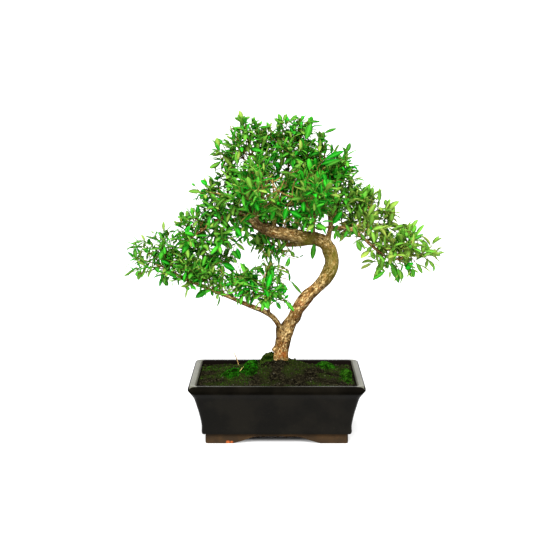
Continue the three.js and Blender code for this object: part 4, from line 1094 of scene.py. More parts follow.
def wood(lines):
    """Trunk and limbs grown together: closed tubes made one skin, then raised and cut by the bark's relief.

    The relief is measured along the limb (s) and round it (a, with radius r). Plates are noise of
    (s / 7, r cos a / 2.6, r sin a / 2.6) with some at half that size, 7% of the radius high. Fissures stand
    where that noise crosses its middle, 6% of the radius deep on thick wood. Slow noise of
    (s / 11, r cos a / 6, r sin a / 6) swells thick wood by up to 15% either way. Scars stand 0.5 mm proud.
    """
    tubes = []
    for name in LIMBS:
        points, headings, radii, _, steps = limb_samples(name)
        swell = trunk_knobs(steps) if name == "trunk" else None
        tubes.append(tube(points, headings, radii, TRUNK_SIDES if name == "trunk" else LIMB_SIDES, swell))
    for *controls, thick, thin in STUBS:
        points, headings = curve_at(np.array(controls, float), np.linspace(0, 1, STUB_STATIONS))
        tubes.append(tube(points, headings, np.linspace(thick, thin, STUB_STATIONS), STUB_SIDES))
    change = ("REMESH", {"mode": "VOXEL", "voxel_size": WOOD_VOXEL * MM, "use_smooth_shade": True})
    mesh = modified_mesh(*joined(tubes), change)
    points = vertices_of(mesh)
    centres, headings, radii, lengths, tree = lines
    index = nearest(tree, points)
    spoke = points - centres[index]
    spoke -= dot(spoke, headings[index]) * headings[index]
    across, other = ring_frame(headings[index])
    radius = radii[index]
    around = np.arctan2(dot(spoke, other)[:, 0], dot(spoke, across)[:, 0])
    way = np.stack([lengths[index] + dot(points - centres[index], headings[index])[:, 0],
                    radius * np.cos(around), radius * np.sin(around)], axis=1)
    plates = grain(way / (7, 2.6, 2.6), 3) * 0.6 + grain(way / (3.2, 1.3, 1.3), 5) * 0.4
    fissure = 1 - soft_step(np.abs(plates - 0.5), 0.015, 0.07)
    thick = soft_step(radius, 1.2, 6)
    scar = near(points, SCARS)
    swelling = 0.3 * (grain(way / (11, 6, 6), 7) - 0.5) * thick
    relief = radius * (swelling + 0.07 * (plates - 0.5) - 0.06 * fissure * thick) + 0.5 * scar
    points = points + unit(spoke) * relief[:, None]
    mesh.vertices.foreach_set("co", placed(points).ravel())
    # Painted shade, darkest on the side turned away from the light and at the shaded places.
    turned_away = 1 - soft_step(dot(unit(spoke), LIT_SIDE)[:, 0], 0.1, 0.8)
    painted_shade = 0.8 * turned_away * (0.5 + 0.7 * grain(way / (8, 3, 3), 13))
    values = {
        "bark_way": way,
        "fissure": fissure * (0.22 + 0.43 * thick),
        "damp": np.clip(near(points, DAMP_PLACES) * (0.3 + 0.8 * grain(points / 5, 9)), 0, 0.75),
        "red": near(points, RED_PLACES) * 0.5 * soft_step(grain(points / 3.5, 11), 0.3, 0.7),
        "scar": scar * 0.85,
        "painted_shade": np.maximum(painted_shade, 0.7 * near(points, SHADED_PLACES)),
    }
    mesh.polygons.foreach_set("use_smooth", np.ones(len(mesh.polygons), bool))
    add_mesh("tree_wood", mesh, bark_material(), ["trunk_and_limbs"], values)


# Foliage.
def curve_at(controls, shares):
    """Points and headings of quadratic curves: (1 - t)² a + 2t(1 - t) b + t² c."""
    t = np.asarray(shares)[:, None]
    a, b, c = controls
    points = (1 - t) ** 2 * a + 2 * t * (1 - t) * b + t**2 * c
    return points, unit(2 * (1 - t) * (b - a) + 2 * t * (c - b))


def curve_length(controls):
    points, _ = curve_at(controls, np.linspace(0, 1, 9))
    return np.linalg.norm(np.diff(points, axis=0), axis=1).sum()


def main_shoot(pad, index):
    """From the limb to the spray's tip, on the pad's egg, each lower and turned by the golden angle."""
    limb, stretch, middle, reach, count, turn = pad
    height = PAD_HIGHEST - PAD_FALL * index / max(count - 1, 1)
    level = math.sqrt(1 - height**2)
    angle = turn + index * GOLDEN_ANGLE
    offset = np.array([level * math.cos(angle), level * math.sin(angle), height])
    tip = np.array(middle) + np.array(reach) * PAD_FULLNESS * offset
    place = stretch[1] - (stretch[1] - stretch[0]) * index / count - 0.02
    base, heading, _ = (part[0] for part in follow(LIMBS[limb], [place]))
    length = np.linalg.norm(tip - base)
    elbow = base + 0.45 * (tip - base) + heading * 0.16 * length + UP * 0.09 * length
    return np.array([base, elbow, tip])


def side_shoot(start, along, out, reach):
    """A shoot that leaves its stem at a slant and rises towards its end."""
    middle = start + along * 0.25 * reach + out * 0.42 * reach
    end = start + along * 0.55 * reach + out * 0.8 * reach + UP * 0.15 * reach
    return np.array([start, middle, end])


def spray_shoots(pad, index, draw):
    """A main shoot and its side shoots in pairs, each pair a quarter turn on from the one below it.

    Gives (curve, radii at its ends, share of it where leaves begin)."""
    main = main_shoot(pad, index)
    length = curve_length(main)
    shoots = [(main, SHOOT_RADII, LEAFY_FROM)]
    for pair, share in enumerate(SIDE_SHOOTS):
        start, along = (part[0] for part in curve_at(main, [share]))
        across, other = (part[0] for part in ring_frame(along[None]))
        for side in (0, math.pi):
            turn = side + pair * math.pi / 2 + draw.uniform(-0.5, 0.5)
            out = across * math.cos(turn) + other * math.sin(turn)
            reach = SIDE_LENGTH * np.clip(length, 26, 40) * (1 - 0.55 * share) * draw.uniform(0.75, 1.2)
            thick = SHOOT_RADII[0] * 0.62 * (1 - 0.4 * share)
            begin = BARE_UNTIL if draw.uniform() < BARE_SHARE else LEAFY_FROM
            shoots.append((side_shoot(start, along, out, reach), (thick, SIDE_RADII), begin))
    return shoots


def shoot_leaves(controls, begin, spacing, draw):
    """Leaf stands on one shoot: opposite pairs a quarter turn apart, and a small pair at its end.

    Rows of root, heading of the stem, way out, share of the shoot."""
    length = curve_length(controls)
    count = max(int(length * (1 - begin) / spacing), 1)
    shares = begin + (1 - begin) * (np.arange(count) + draw.uniform(0, 0.6, count)) / count
    shares = np.append(np.clip(shares, 0, 0.97), 1.0)
    points, headings = curve_at(controls, shares)
    across, other = ring_frame(headings)
    rows = []
    for side in (0, math.pi):
        turn = side + np.arange(len(shares)) * math.pi / 2 + draw.uniform(-0.4, 0.4, len(shares))
        out = across * np.cos(turn)[:, None] + other * np.sin(turn)[:, None]
        rows.append((points, headings, out, shares))
    return [np.concatenate([row[k] for row in rows]) for k in range(4)]


def leaf_frames(points, stems, out, shares, draw, yellow, growth):
    """Each leaf's root, way, face, length, width, bend, shade and youth."""
    count = len(points)
    ends = soft_step(shares, 0.8, 1.0)
    spread = np.clip(draw.normal(*LEAF_SPREAD, count) - 0.5 * ends, 0.28, 1.4)[:, None]
    way = unit(stems * np.cos(spread) + out * np.sin(spread) + UP * draw.uniform(-0.1, 0.3, (count, 1)))
    face = UP + 0.5 * stems + draw.normal(0, 0.35, (count, 3))
    face = unit(face - dot(face, way) * way)
    size = (LEAF_SIZES[0] + LEAF_SIZES[1] * draw.uniform(0, 1, count) ** 1.5) * (1 - 0.1 * ends)
    length = LEAF_LENGTH * size * growth
    width = length * LEAF_SLIMNESS * draw.uniform(0.85, 1.15, count)
    bend = np.clip(draw.normal(*LEAF_BEND, count), -0.2, 1.3)
    # Leaves low on their shoots are darker, partly for age and partly as painted shade inside the crown.
    shade = np.clip(draw.normal(0.25 + 0.35 * shares, 0.3, count), 0, 1)
    youth = yellow + 0.65 * draw.uniform(0, 1, count) ** 3 + ends * draw.uniform(-0.05, 0.32, count)
    return {"root": points, "way": way, "face": face, "length": length, "width": width, "bend": bend,
            "shade": shade, "youth": np.clip(youth, 0, 1)}


# A blade's stations along its length, its width at each as a share of the widest, and its edges' rise.
BLADE_STATIONS = np.array([0, 0.1, 0.26, 0.46, 0.67, 0.86, 1.0])
BLADE_FULLNESS = np.array([0.07, 0.2, 0.74, 1.0, 0.92, 0.56, 0.04])
BLADE_FOLD = 0.16


def blades(leaves):
    """Closed leaves. A blade bends back along an arc: at share u of its length L, with bend k, it has gone
    L sin(ku) / k forward and L (1 - cos(ku)) / k back. Each station has four points: left edge, midrib above,
    right edge, midrib below. The edges stand 0.16 of the half width above the midrib."""
    bend = np.where(np.abs(leaves["bend"]) < 0.05, 0.05, leaves["bend"])[:, None, None]
    length = leaves["length"][:, None, None]
    u = BLADE_STATIONS[None, :, None]
    forward = length * np.sin(bend * u) / bend
    back = length * (1 - np.cos(bend * u)) / bend
    way, face = leaves["way"][:, None], leaves["face"][:, None]
    side = np.cross(face, way)
    centre = leaves["root"][:, None] + way * forward - face * back
    up = face * np.cos(bend * u) + way * np.sin(bend * u)
    half = leaves["width"][:, None, None] / 2 * BLADE_FULLNESS[None, :, None]
    thick = LEAF_THICKNESS / 2 * np.clip(BLADE_FULLNESS * 2, 0.3, 1)[None, :, None]
    points = np.stack([centre + side * half + up * half * BLADE_FOLD, centre + up * thick,
                       centre - side * half + up * half * BLADE_FOLD, centre - up * thick], axis=2)
    count, stations = points.shape[:2]
    single = grid_faces(stations, 4).tolist()
    single += [[3, 2, 1, 0], [(stations - 1) * 4 + j for j in range(4)]]
    start = (np.arange(count) * stations * 4)[:, None, None]
    faces = (np.array(single)[None] + start).reshape(-1, 4)
    shape = (count, stations, 4)
    values = {
        "across": np.broadcast_to(np.array([1, 0, 1, 0])[None, None], shape).ravel(),
        "along": np.broadcast_to(BLADE_STATIONS[None, :, None], shape).ravel(),
        "shade": np.broadcast_to(leaves["shade"][:, None, None], shape).ravel(),
        "youth": np.broadcast_to(leaves["youth"][:, None, None], shape).ravel(),
    }
    return points.reshape(-1, 3), faces, values


def clear_of_wood(leaves, lines):
    """Which leaves have their middle and tip outside the wood, and inside the frame's box."""
    centres, _, radii, _, tree = lines
    clear = np.ones(len(leaves["length"]), bool)
    low = (np.array(cad_box[0]) - POT_MIDDLE) / MM - BOX_SLACK
    high = (np.array(cad_box[1]) - POT_MIDDLE) / MM + BOX_SLACK
    for share in (0.5, 1.0):
        point = leaves["root"] + leaves["way"] * leaves["length"][:, None] * share
        index = nearest(tree, point)
        clear &= np.linalg.norm(point - centres[index], axis=1) > radii[index] + WOOD_CLEARANCE
        clear &= ~hides_wood(point)
        clear &= np.all((point > low) & (point < high), axis=1)
    return clear


def hides_wood(points):
    """Whether points stand before the trunk or the low right limb, which growth is kept off to show.

    A point is carried back down the line of sight to the trunk's plane, and hides the wood where it then is
    within 1.5 mm of its side.
    """
    (centres, _, radii, *_), (limb, _, limb_radii, *_) = limb_samples("trunk"), limb_samples("right_low")
    bare = (limb[:, 0] > LIMB_IN_SIGHT[0]) & (limb[:, 0] < LIMB_IN_SIGHT[1])
    centres, radii = np.concatenate([centres, limb[bare]]), np.concatenate([radii, limb_radii[bare]])
    low = centres[:, 2] < SIGHT_TOP
    level = points[:, 2] + SIGHT_SLOPE * (points[:, 1] - SIGHT_PLANE)
    away = np.hypot(points[:, :1] - centres[None, low, 0], level[:, None] - centres[None, low, 2])
    return (points[:, 1] < SIGHT_PLANE) & np.any(away < radii[None, low] + SIGHT_CLEARANCE, axis=1)


def infill_shoots(limb, draw, lean=INFILL_LEAN):
    """Shoots along a limb, each turned by the golden angle from the last, with three pairs of sides."""
    start, end, spacing, reach = INFILL[limb]
    rows = LIMBS[limb]
    points, _, _ = follow(rows, np.linspace(start, end, 40))
    count = int(np.linalg.norm(np.diff(points, axis=0), axis=1).sum() / spacing)
    shoots = []
    for step in range(count):
        place = start + (end - start) * (step + draw.uniform(0.2, 0.8)) / count
        base, heading, _ = (part[0] for part in follow(rows, [place]))
        across, other = (part[0] for part in ring_frame(heading[None]))
        turn = step * GOLDEN_ANGLE + draw.uniform(-0.3, 0.3)
        out = unit(across * math.cos(turn) + other * math.sin(turn) + np.array(lean))
        long = reach * draw.uniform(0.75, 1.25)
        main = side_shoot(base, heading, out, long)
        shoots.append((main, INFILL_RADII, 0.35))
        for pair, share in enumerate(INFILL_SIDES):
            root, along = (part[0] for part in curve_at(main, [share]))
            level, upright = (part[0] for part in ring_frame(along[None]))
            for side in (0, math.pi):
                angle = side + pair * math.pi / 2 + draw.uniform(-0.5, 0.5)
                away = level * math.cos(angle) + upright * math.sin(angle)
                short = long * 0.62 * (1 - 0.5 * share) * draw.uniform(0.7, 1.2)
                shoots.append((side_shoot(root, along, away, short), (0.55, SIDE_RADII), LEAFY_FROM))
    return shoots


def lone_leaves(pad):
    """The single leaves of a pad, as `leaf_frames` gives them: each runs from its root towards its tip."""
    rows = LONE_LEAVES.get(pad, [])
    root, tip = (np.array([row[k] for row in rows], float).reshape(-1, 3) for k in (0, 1))
    share, bend, shade, youth = (np.array([row[k] for row in rows], float) for k in (2, 3, 4, 5))
    way = unit(tip - root)
    face = np.array(LONE_FACE) + 0 * way
    length = np.linalg.norm(tip - root, axis=1) * bend / np.sin(bend)
    return {"root": root, "way": way, "face": unit(face - dot(face, way) * way), "length": length,
            "width": length * share, "bend": bend, "shade": shade, "youth": youth}


def add_foliage(name, shoots, nodes, lines, looks, draw):
    """One piece of twigs and one of leaves, from shoots as (curve, radii, share where leaves begin)."""
    leaf, twig = looks
    growth = LEAF_GROWTH.get(name, 1)
    shares = np.linspace(0, 1, TWIG_STATIONS)
    twigs, ages, stands, stems = [], [], [], []

    def add_twig(controls, radii, age):
        """A tapering tube along a curve. Its age is one number, or one for each station."""
        points, headings = curve_at(controls, shares)
        twigs.append(tube(points, headings, np.linspace(*radii, TWIG_STATIONS), TWIG_SIDES))
        ages.append(np.repeat(np.broadcast_to(age, shares.shape), TWIG_SIDES))
        return points

    for controls, radii, begin in shoots:
        if not hides_wood(controls[1:]).any():
            stems.append(add_twig(controls, radii, np.clip(1 - shares * 1.1 + (radii[0] - 0.7), 0, 1)))
            stands.append(shoot_leaves(controls, begin, NODE_SPACING * growth, draw))
    stands = [np.concatenate([stand[k] for stand in stands]) for k in range(4)]
    frames = leaf_frames(*stands, draw, YELLOW.get(name, 0), growth)
    clear = clear_of_wood(frames, lines)
    luck = draw.uniform(0, 1, len(clear))
    for middle, reach, share in THIN_PLACES:
        clear &= (np.linalg.norm((frames["root"] - middle) / reach, axis=1) > 1) | (luck > share)
    stems = np.vstack(stems)

    def stem_by(root):
        return stems[np.argmin(np.linalg.norm(stems - root, axis=1))]

    lone = lone_leaves(name)
    for root, way in zip(lone["root"], lone["way"]):
        base = stem_by(root)
        add_twig((base, root - way * 0.45 * np.linalg.norm(root - base), root), STALK_RADII, STALK_AGE)
    for root, *rest in BARE_TWIGS.get(name, []):
        age = GREEN_AGE if name in GREEN_TWIGS else BARE_AGE
        add_twig(np.array([stem_by(root), *rest], float), BARE_RADII, age)
    points, faces, values = blades({label: np.concatenate([numbers[clear], lone[label]])
                                    for label, numbers in frames.items()})
    add_piece(f"leaves_{name}", points, faces, leaf, "foliage", nodes, values=values)
    points, faces = joined(twigs)
    add_piece(f"twigs_{name}", points, faces, twig, "bark", nodes, values={"age": np.concatenate(ages)})


def foliage(lines):
    """For each pad, one piece of twigs and one of leaves, in place of the frame's sprays."""
    looks = leaf_material(), twig_material()
    filled = set()
    for row, (name, pad) in enumerate(PADS.items()):
        draw = np.random.default_rng(100 + row)
        limb, count = pad[0], pad[4]
        shoots = [shoot for index in range(count) for shoot in spray_shoots(pad, index, draw)]
        if limb not in filled:
            shoots += infill_shoots(limb, draw, LIMB_LEANS.get(limb, INFILL_LEAN))
            filled.add(limb)
        shoots += [(np.array(controls, float), LONG_RADII, 0.25) for controls in LONG_SHOOTS.get(name, [])]
        nodes = [f"spray_{name}_{index + 1}" for index in range(count)]
        add_foliage(name, shoots, nodes, lines, looks, draw)
    draw = np.random.default_rng(99)
    add_foliage("on_trunk", infill_shoots("trunk", draw, TRUNK_LEAN), (), lines, looks, draw)


# Pot.
CORNER_STEPS = 8
SIDE_STEPS = 6


def pot_ring(inset, height, half=POT_HALF):
    """A rounded rectangle: straight sides cut in equal parts, corners as quarter circles, 7 - 0.15 inset."""
    corner = POT_CORNER - inset * CORNER_LOSS
    middle = np.array(half) - inset - corner
    outline = []
    for quarter, signs in enumerate([(1, 1), (-1, 1), (-1, -1), (1, -1)]):
        angles = (quarter + np.arange(CORNER_STEPS + 1) / CORNER_STEPS) * math.pi / 2
        outline.append(middle * signs + corner * np.stack([np.cos(angles), np.sin(angles)], axis=1))
    sides = []
    for quarter in range(4):
        start, end = outline[quarter][-1], outline[(quarter + 1) % 4][0]
        parts = (np.arange(1, SIDE_STEPS) / SIDE_STEPS)[:, None]
        sides += [outline[quarter], start + (end - start) * parts]
    flat = np.vstack(sides)
    return np.column_stack([flat, np.full(len(flat), height)])


def smooth_profile(rows, parts):
    """The same rule as `follow`, for rows of inset and height."""
    wide = [(x, z, 0, 0) for x, z in rows]
    points, _, _ = follow(wide, np.linspace(0, 1, (len(rows) - 1) * parts + 1))
    return points[:, :2]


def arch_bar(bottom, waist, top, height, reach, turned):
    """The bracket-shaped opening between two feet, run through both opposite sides.

    Its half outline is two quadratic curves: up from the foot to the waist, and on to the flat top.
    """
    shares = np.linspace(0, 1, 7)[1:]
    low, knee, middle = (bottom, 0), (waist + 2, height * 0.45), (waist, height * 0.62)
    shoulder, high = (top + 8, height), (top, height)
    curves = [curve_at(np.array(controls, float), shares)[0]
              for controls in ((low, knee, middle), (middle, shoulder, high))]
    half = np.vstack([[(bottom, -1), low], *curves])
    x, z = np.vstack([half, (half * (-1, 1))[::-1]]).T
    rings = [np.column_stack([x, np.full(len(x), y), z]) for y in (reach, -reach)]
    if turned:
        rings = [np.column_stack([-ring[:, 1], ring[:, 0], ring[:, 2]]) for ring in rings]
    return lofted(rings)


DRAIN_SIDES = 32
SHARP_EDGE = 32  # degrees


def pot():
    """The glazed wall and foot as one lofted skin, with the hollow, the arches and the drainage holes cut."""
    profile = np.vstack([FOOT_PROFILE, smooth_profile(WALL_PROFILE, 5)])
    body = lofted([pot_ring(inset, height) for inset, height in profile])
    hollow = lofted([pot_ring(FOOT_INSET + FOOT_WALL, height) for height in (-1, HOLLOW_HEIGHT)])
    cuts = [hollow, arch_bar(*ARCH_FRONT, ARCH_REACH[0], False), arch_bar(*ARCH_SIDE, ARCH_REACH[1], True)]
    around = np.arange(DRAIN_SIDES) / DRAIN_SIDES * 2 * math.pi
    circle = np.stack([DRAIN_RADIUS * np.cos(around), DRAIN_RADIUS * np.sin(around)], axis=1)
    for middle in (-DRAIN_X, DRAIN_X):
        cuts.append(lofted([np.column_stack([circle + (middle, 0), np.full(DRAIN_SIDES, z)])
                            for z in (2, FLOOR_TOP + 6)]))
    cutters = [in_scene("cutter", surface("cutter", *cut)) for cut in cuts]
    changes = [("BOOLEAN", {"object": c, "operation": "DIFFERENCE", "solver": "EXACT"}) for c in cutters]
    mesh = modified_mesh(*body, *changes)
    for c in cutters:
        bpy.data.objects.remove(c)
    mesh.polygons.foreach_set("use_smooth", np.ones(len(mesh.polygons), bool))
    mesh.set_sharp_from_angle(angle=math.radians(SHARP_EDGE))
    add_mesh("glazed_pot", mesh, glaze_material(), ["pot"])


# Soil and moss.
def mound(x, y, x0, y0, long, wide):
    """exp(-((x - x0) / long)² - ((y - y0) / wide)²): 1 at the middle, fading outwards."""
    return np.exp(-(((x - x0) / long) ** 2) - ((y - y0) / wide) ** 2)


def soil_height(x, y):
    """Level at the wall, heaped round the trunk: edge + (heap + waves) (1 - share⁴)."""
    waves = 0.9 * np.sin(x * 0.13 + 1) * np.cos(y * 0.17) + 0.6 * np.sin(x * 0.31 - y * 0.23)
    share = np.maximum(np.abs(x) / (POT_HALF[0] - SOIL_INSET), np.abs(y) / (POT_HALF[1] - SOIL_INSET))
    return SOIL_EDGE + (SOIL_HEAP * mound(x, y, *HEAP) + waves) * (1 - np.clip(share, 0, 1) ** 4)


def soil_lumps(x, y):
    """Crumbly relief up to about 2 mm, from noise at 6, 2.6 and 1.2 mm."""
    flat = np.column_stack([x, y, np.zeros_like(x)])
    lumps = 1.5 * grain(flat / 6, 21) + 1.3 * grain(flat / 2.6, 22) ** 2 + 0.6 * grain(flat / 1.2, 23)
    return lumps - 1.5


SOIL_STEP = 0.9  # between the grid's points


def soil(material):
    """A block with a crumbly top: a grid pulled in at the corners, rings down the wall and a flat base."""
    half = np.array(POT_HALF) - SOIL_INSET
    corner = POT_CORNER - SOIL_INSET * CORNER_LOSS
    columns, rows = (int(2 * size / SOIL_STEP) for size in half)
    x, y = np.meshgrid(np.linspace(-half[0], half[0], columns), np.linspace(-half[1], half[1], rows))
    x, y = x.ravel(), y.ravel()
    past_x, past_y = np.abs(x) - (half[0] - corner), np.abs(y) - (half[1] - corner)
    far = np.hypot(past_x, past_y)
    pull = np.where((past_x > 0) & (past_y > 0) & (far > corner), corner / np.maximum(far, 1e-6), 1)
    x = np.where(pull < 1, np.sign(x) * (half[0] - corner + past_x * pull), x)
    y = np.where(pull < 1, np.sign(y) * (half[1] - corner + past_y * pull), y)
    at_edge = soft_step(np.maximum(np.abs(x) - half[0], np.abs(y) - half[1]), -2.5, 0)
    z = soil_height(x, y) + soil_lumps(x, y) * (1 - at_edge)
    top = np.column_stack([x, y, z])
    index = np.arange(rows * columns).reshape(rows, columns)
    edge = np.concatenate([index[0, :-1], index[:-1, -1], index[-1, :0:-1], index[:0:-1, 0]])
    rings = [top[edge] * (1, 1, 0) * (1 - (inset - SOIL_INSET) / half.mean()) + (0, 0, height)
             for inset, height in SOIL_LINING]
    points = np.vstack([top, *rings])
    faces = grid_faces(rows, columns, closed=False).tolist()
    loops = [edge] + [len(top) + k * len(edge) + np.arange(len(edge)) for k in range(len(rings))]
    for upper, lower in zip(loops, loops[1:]):
        faces += np.stack([lower, np.roll(lower, -1), np.roll(upper, -1), upper], axis=1).tolist()
    faces.append(loops[-1][::-1].tolist())
    film = soft_step(grain(points / (14, 14, 1000), 31), 0.45, 0.75) * 0.8
    add_piece("soil_block", points, faces, material, "soil", ["soil"], values={"green": film})


def ground(x, y):
    return soil_height(x, y) + soil_lumps(x, y)


def off_trunk(x, y, clearance):
    """Which places on the soil are further than that from the middle of the trunk's foot."""
    return np.hypot(x - TRUNK_FOOT[0], y - TRUNK_FOOT[1]) > clearance


def crumbs(count=2600):
    """Small faceted lumps, eight-cornered and jittered, sunk in the soil; one in 25 is paler."""
    draw = np.random.default_rng(7)
    half = np.array(POT_HALF) - SOIL_INSET - 2
    x, y = draw.uniform(-half[0], half[0], count), draw.uniform(-half[1], half[1], count)
    away = off_trunk(x, y, CRUMBS_OFF)
    x, y = x[away], y[away]
    count = len(x)
    size = draw.gamma(3.0, 0.22, count) + 0.35
    corners = np.array(list(itertools.product((-1, 1), repeat=3)), float)
    shape = corners[None] * draw.uniform(0.5, 1.0, (count, 8, 3)) * (size[:, None, None] * (0.6, 0.6, 0.45))
    turn = draw.uniform(0, 2 * math.pi, count)
    spin = np.zeros((count, 3, 3))
    spin[:, 0, 0] = spin[:, 1, 1] = np.cos(turn)
    spin[:, 0, 1], spin[:, 1, 0] = -np.sin(turn), np.sin(turn)
    spin[:, 2, 2] = 1
    middle = np.column_stack([x, y, ground(x, y) + size * 0.15])
    points = np.einsum("nij,nkj->nki", spin, shape) + middle[:, None]
    cube = np.array([[0, 1, 3, 2], [4, 6, 7, 5], [0, 4, 5, 1], [2, 3, 7, 6], [0, 2, 6, 4], [1, 5, 7, 3]])
    faces = (cube[None] + (np.arange(count) * 8)[:, None, None]).reshape(-1, 4)
    luck, light = draw.uniform(0, 1, count), draw.uniform(0, 1, count)
    pale = np.where(luck > 0.999, 0.3 + 0.3 * light, np.where(luck > 0.96, 0.02 + 0.07 * light, 0))
    add_piece("soil_crumbs", points.reshape(-1, 3), faces, crumb_material(), "soil",
              smooth=False, values={"paleness": np.repeat(pale, 8)})


def tufts(roots, ways, lengths, widths, bends):
    """Tiny three-sided spikes: a root triangle, a waist triangle and a point, leaning over as they rise."""
    count = len(roots)
    across, other = ring_frame_each(ways)
    around = np.arange(3) / 3 * 2 * math.pi
    spokes = across[:, None] * np.cos(around)[None, :, None] + other[:, None] * np.sin(around)[None, :, None]
    waist = roots + ways * (lengths * 0.55)[:, None]
    tip = roots + ways * lengths[:, None] + bends
    low = roots[:, None] + spokes * (widths * 0.4)[:, None, None]
    mid = waist[:, None] + spokes * (widths * 0.5)[:, None, None]
    points = np.concatenate([low, mid, tip[:, None]], axis=1)
    single = [[0, 1, 4, 3], [1, 2, 5, 4], [2, 0, 3, 5]]
    ends = [[3, 4, 6], [4, 5, 6], [5, 3, 6], [0, 2, 1]]
    start = np.arange(count) * 7
    faces = [[s + corner for corner in face] for s in start for face in single + ends]
    return points.reshape(-1, 3), faces


def ring_frame_each(ways):
    """Two directions square to each way by itself."""
    helper = np.where(np.abs(ways[:, 2:]) < 0.9, UP, np.array([1.0, 0, 0]))
    across = unit(np.cross(helper, ways))
    return across, np.cross(ways, across)


MOSS_RINGS = 16
MOSS_SIDES = 40
TUFTS_PER_MM2 = 3.0


def moss_cushion(name, row, material, draw):
    """A low dome, 0.85 height (1 - share²)^0.8 above the soil with knobbly relief, thick with tufts, with
    painted shade down among them.
    """
    x0, y0, long, wide, height, turn, old = row
    angle = math.radians(turn)

    def dome(share, around):
        """Points and ways up at a share from the middle and an angle round it."""
        edge = 1 + 0.12 * np.sin(3 * around + x0) + 0.08 * np.sin(5 * around + y0)
        u, v = long * share * edge * np.cos(around), wide * share * edge * np.sin(around)
        x = x0 + u * math.cos(angle) - v * math.sin(angle)
        y = y0 + u * math.sin(angle) + v * math.cos(angle)
        rise = height * 0.85 * np.clip(1 - share**2, 0, 1) ** 0.8
        knobs = grain(np.column_stack([x, y, np.zeros_like(x)]) / 3.4, 41) * height * 0.4
        z = soil_height(x, y) + rise + knobs * (1 - share**2)
        lean = np.column_stack([x - x0, y - y0, np.full_like(x, 0.8 * max(long, wide))])
        return np.column_stack([x, y, z]), unit(lean)

    turns = np.arange(MOSS_SIDES) / MOSS_SIDES * 2 * math.pi
    shares, around = np.meshgrid(np.linspace(1.02, 0.06, MOSS_RINGS), turns, indexing="ij")
    points, _ = dome(shares.ravel(), around.ravel())
    skirt = points[:MOSS_SIDES] - (0, 0, 2.5)
    body = lofted([skirt] + list(points.reshape(MOSS_RINGS, MOSS_SIDES, 3)))
    count = int(math.pi * long * wide * TUFTS_PER_MM2)
    share = np.sqrt(draw.uniform(0, 1.1, count))
    roots, ways = dome(share, draw.uniform(0, 2 * math.pi, count))
    ways = unit(ways + draw.normal(0, 0.3, (count, 3)))
    lengths, widths = draw.uniform(0.9, 2.0, count), draw.uniform(0.45, 0.8, count)
    spikes = tufts(roots - ways * 0.3, ways, lengths, widths, draw.normal(0, 0.25, (count, 3)))
    # Painted shade among the tufts: darkest on the dome and at the tufts' roots, none at their points.
    painted_tuft_shade = np.concatenate([np.full(len(body[0]), 0.8), np.tile([0.7, 0.7, 0.7, 0.3, 0.3, 0.3, 0.0], count)])
    points, faces = joined([body, spikes])
    painted_tuft_shade = np.clip(painted_tuft_shade + 0.9 * soft_step(grain(points / 2.6, 47), 0.45, 0.75), 0, 1)
    patch = np.clip(old + 0.5 * (grain(points / 4, 43) - 0.5), 0, 1)
    add_piece(f"{name}_tufts", points, faces, material, "moss", [name], values={"old": patch, "painted_tuft_shade": painted_tuft_shade})


def moss_film(material, count=9000):
    """Thin moss over the damp soil: lone tufts where slow noise is high, thickest at the back and by the
    cushions, where it is fresher."""
    draw = np.random.default_rng(17)
    half = np.array(POT_HALF) - SOIL_INSET - 1.5
    x, y = draw.uniform(-half[0], half[0], count), draw.uniform(-half[1], half[1], count)
    want = grain(np.column_stack([x / 13, y / 13, np.zeros(count)]), 31) + 0.12 * y / half[1]
    strip = mound(x, y, *MOSS_STRIP)
    beside = np.zeros(count)
    for x0, y0, long, wide, *_ in MOSS.values():
        beside = np.maximum(beside, mound(x, y, x0, y0, 1.5 * long, 1.5 * wide))
    want = want + 0.5 * strip + 0.35 * mound(x, y, *MOSS_MOUND) + 0.6 * beside
    keep = draw.uniform(0, 1, count) < soft_step(want, 0.5, 0.85)
    keep &= off_trunk(x, y, FILM_OFF)
    x, y, fresh = x[keep], y[keep], (0.3 * strip + 0.4 * beside)[keep]
    count = len(x)
    ways = unit(np.column_stack([draw.normal(0, 0.4, (count, 2)), np.ones(count)]))
    roots = np.column_stack([x, y, ground(x, y) - 0.4])
    lengths, widths = draw.uniform(0.9, 1.9, count) * (1 + fresh), draw.uniform(0.5, 1.0, count)
    points, faces = tufts(roots, ways, lengths, widths, draw.normal(0, 0.3, (count, 3)))
    old = np.clip(draw.normal(0.85, 0.2, count) - fresh, 0, 1)
    # Painted shade at the tufts' roots, none at their points.
    painted_tuft_shade = np.tile([0.8, 0.8, 0.8, 0.4, 0.4, 0.4, 0.1], count)
    add_piece("moss_film", points, faces, material, "moss", values={"old": np.repeat(old, 7), "painted_tuft_shade": painted_tuft_shade})


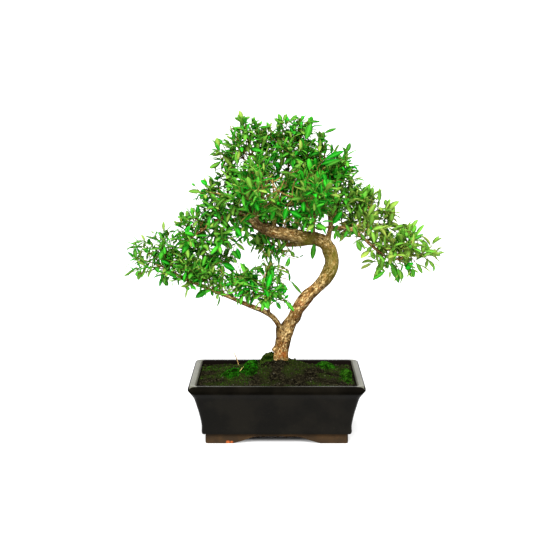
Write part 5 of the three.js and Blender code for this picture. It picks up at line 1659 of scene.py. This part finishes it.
def straws():
    """The dry bits, each a thin tube along its rows."""
    straw = straw_material()
    for name, rows in STRAWS.items():
        points, headings, radii = follow(rows, np.linspace(0, 1, STRAW_STATIONS))
        add_piece(name, *tube(points, headings, radii, STRAW_SIDES), straw, "bark")


# The tree, its stage, lights and camera.
CAMERA_PLACE = (0.9, -1486, 428)
CAMERA_PITCH = 8.94  # degrees down
CAMERA_LENS = 79.3  # mm, on the sensor below
CAMERA_SENSOR = 36  # mm wide
FLOOR_REACH = 30000
SUN_POWER = 5.8
SUN_WIDTH = 30  # degrees, for soft shadows
SUN_TURN = (45, 0, -5)  # degrees: from the front and above, a little from the left
ROOM_POWER = 1.42


def stage():
    corners = np.array([(-1, -1, 0), (1, -1, 0), (1, 1, 0), (-1, 1, 0)]) * FLOOR_REACH
    mesh = surface("floor", corners, [[0, 1, 2, 3]])
    mesh.materials.append(floor_material())
    in_scene("floor", mesh)


def lights():
    sun = bpy.data.lights.new("key_light", "SUN")
    sun.energy = SUN_POWER
    sun.angle = math.radians(SUN_WIDTH)
    in_scene("key_light", sun).rotation_euler = [math.radians(turn) for turn in SUN_TURN]
    world = bpy.data.worlds.new("white_room")
    world.use_nodes = True
    background = world.node_tree.nodes["Background"].inputs
    background["Color"].default_value = (1, 1, 1, 1)
    background["Strength"].default_value = ROOM_POWER
    bpy.context.scene.world = world


def camera():
    data = bpy.data.cameras.new("camera")
    data.lens = CAMERA_LENS
    data.sensor_width = CAMERA_SENSOR
    holder = in_scene("camera", data)
    holder.location = placed(CAMERA_PLACE)
    holder.rotation_euler = (math.radians(90 - CAMERA_PITCH), 0, 0)
    bpy.context.scene.camera = holder


def bonsai():
    lines = wood_lines()
    wood(lines)
    foliage(lines)
    pot()
    soil(soil_material())
    crumbs()
    moss = moss_material()
    for seed, (name, row) in enumerate(MOSS.items()):
        moss_cushion(name, row, moss, np.random.default_rng(50 + seed))
    moss_film(moss)
    straws()
    plastic = screen_material()
    for side in ("left", "right"):
        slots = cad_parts[f"drain_screen_{side}"].data.materials
        slots.clear()
        slots.append(plastic)


bonsai()
stage()
lights()
camera()
bpy.context.scene.view_settings.view_transform = "Standard"
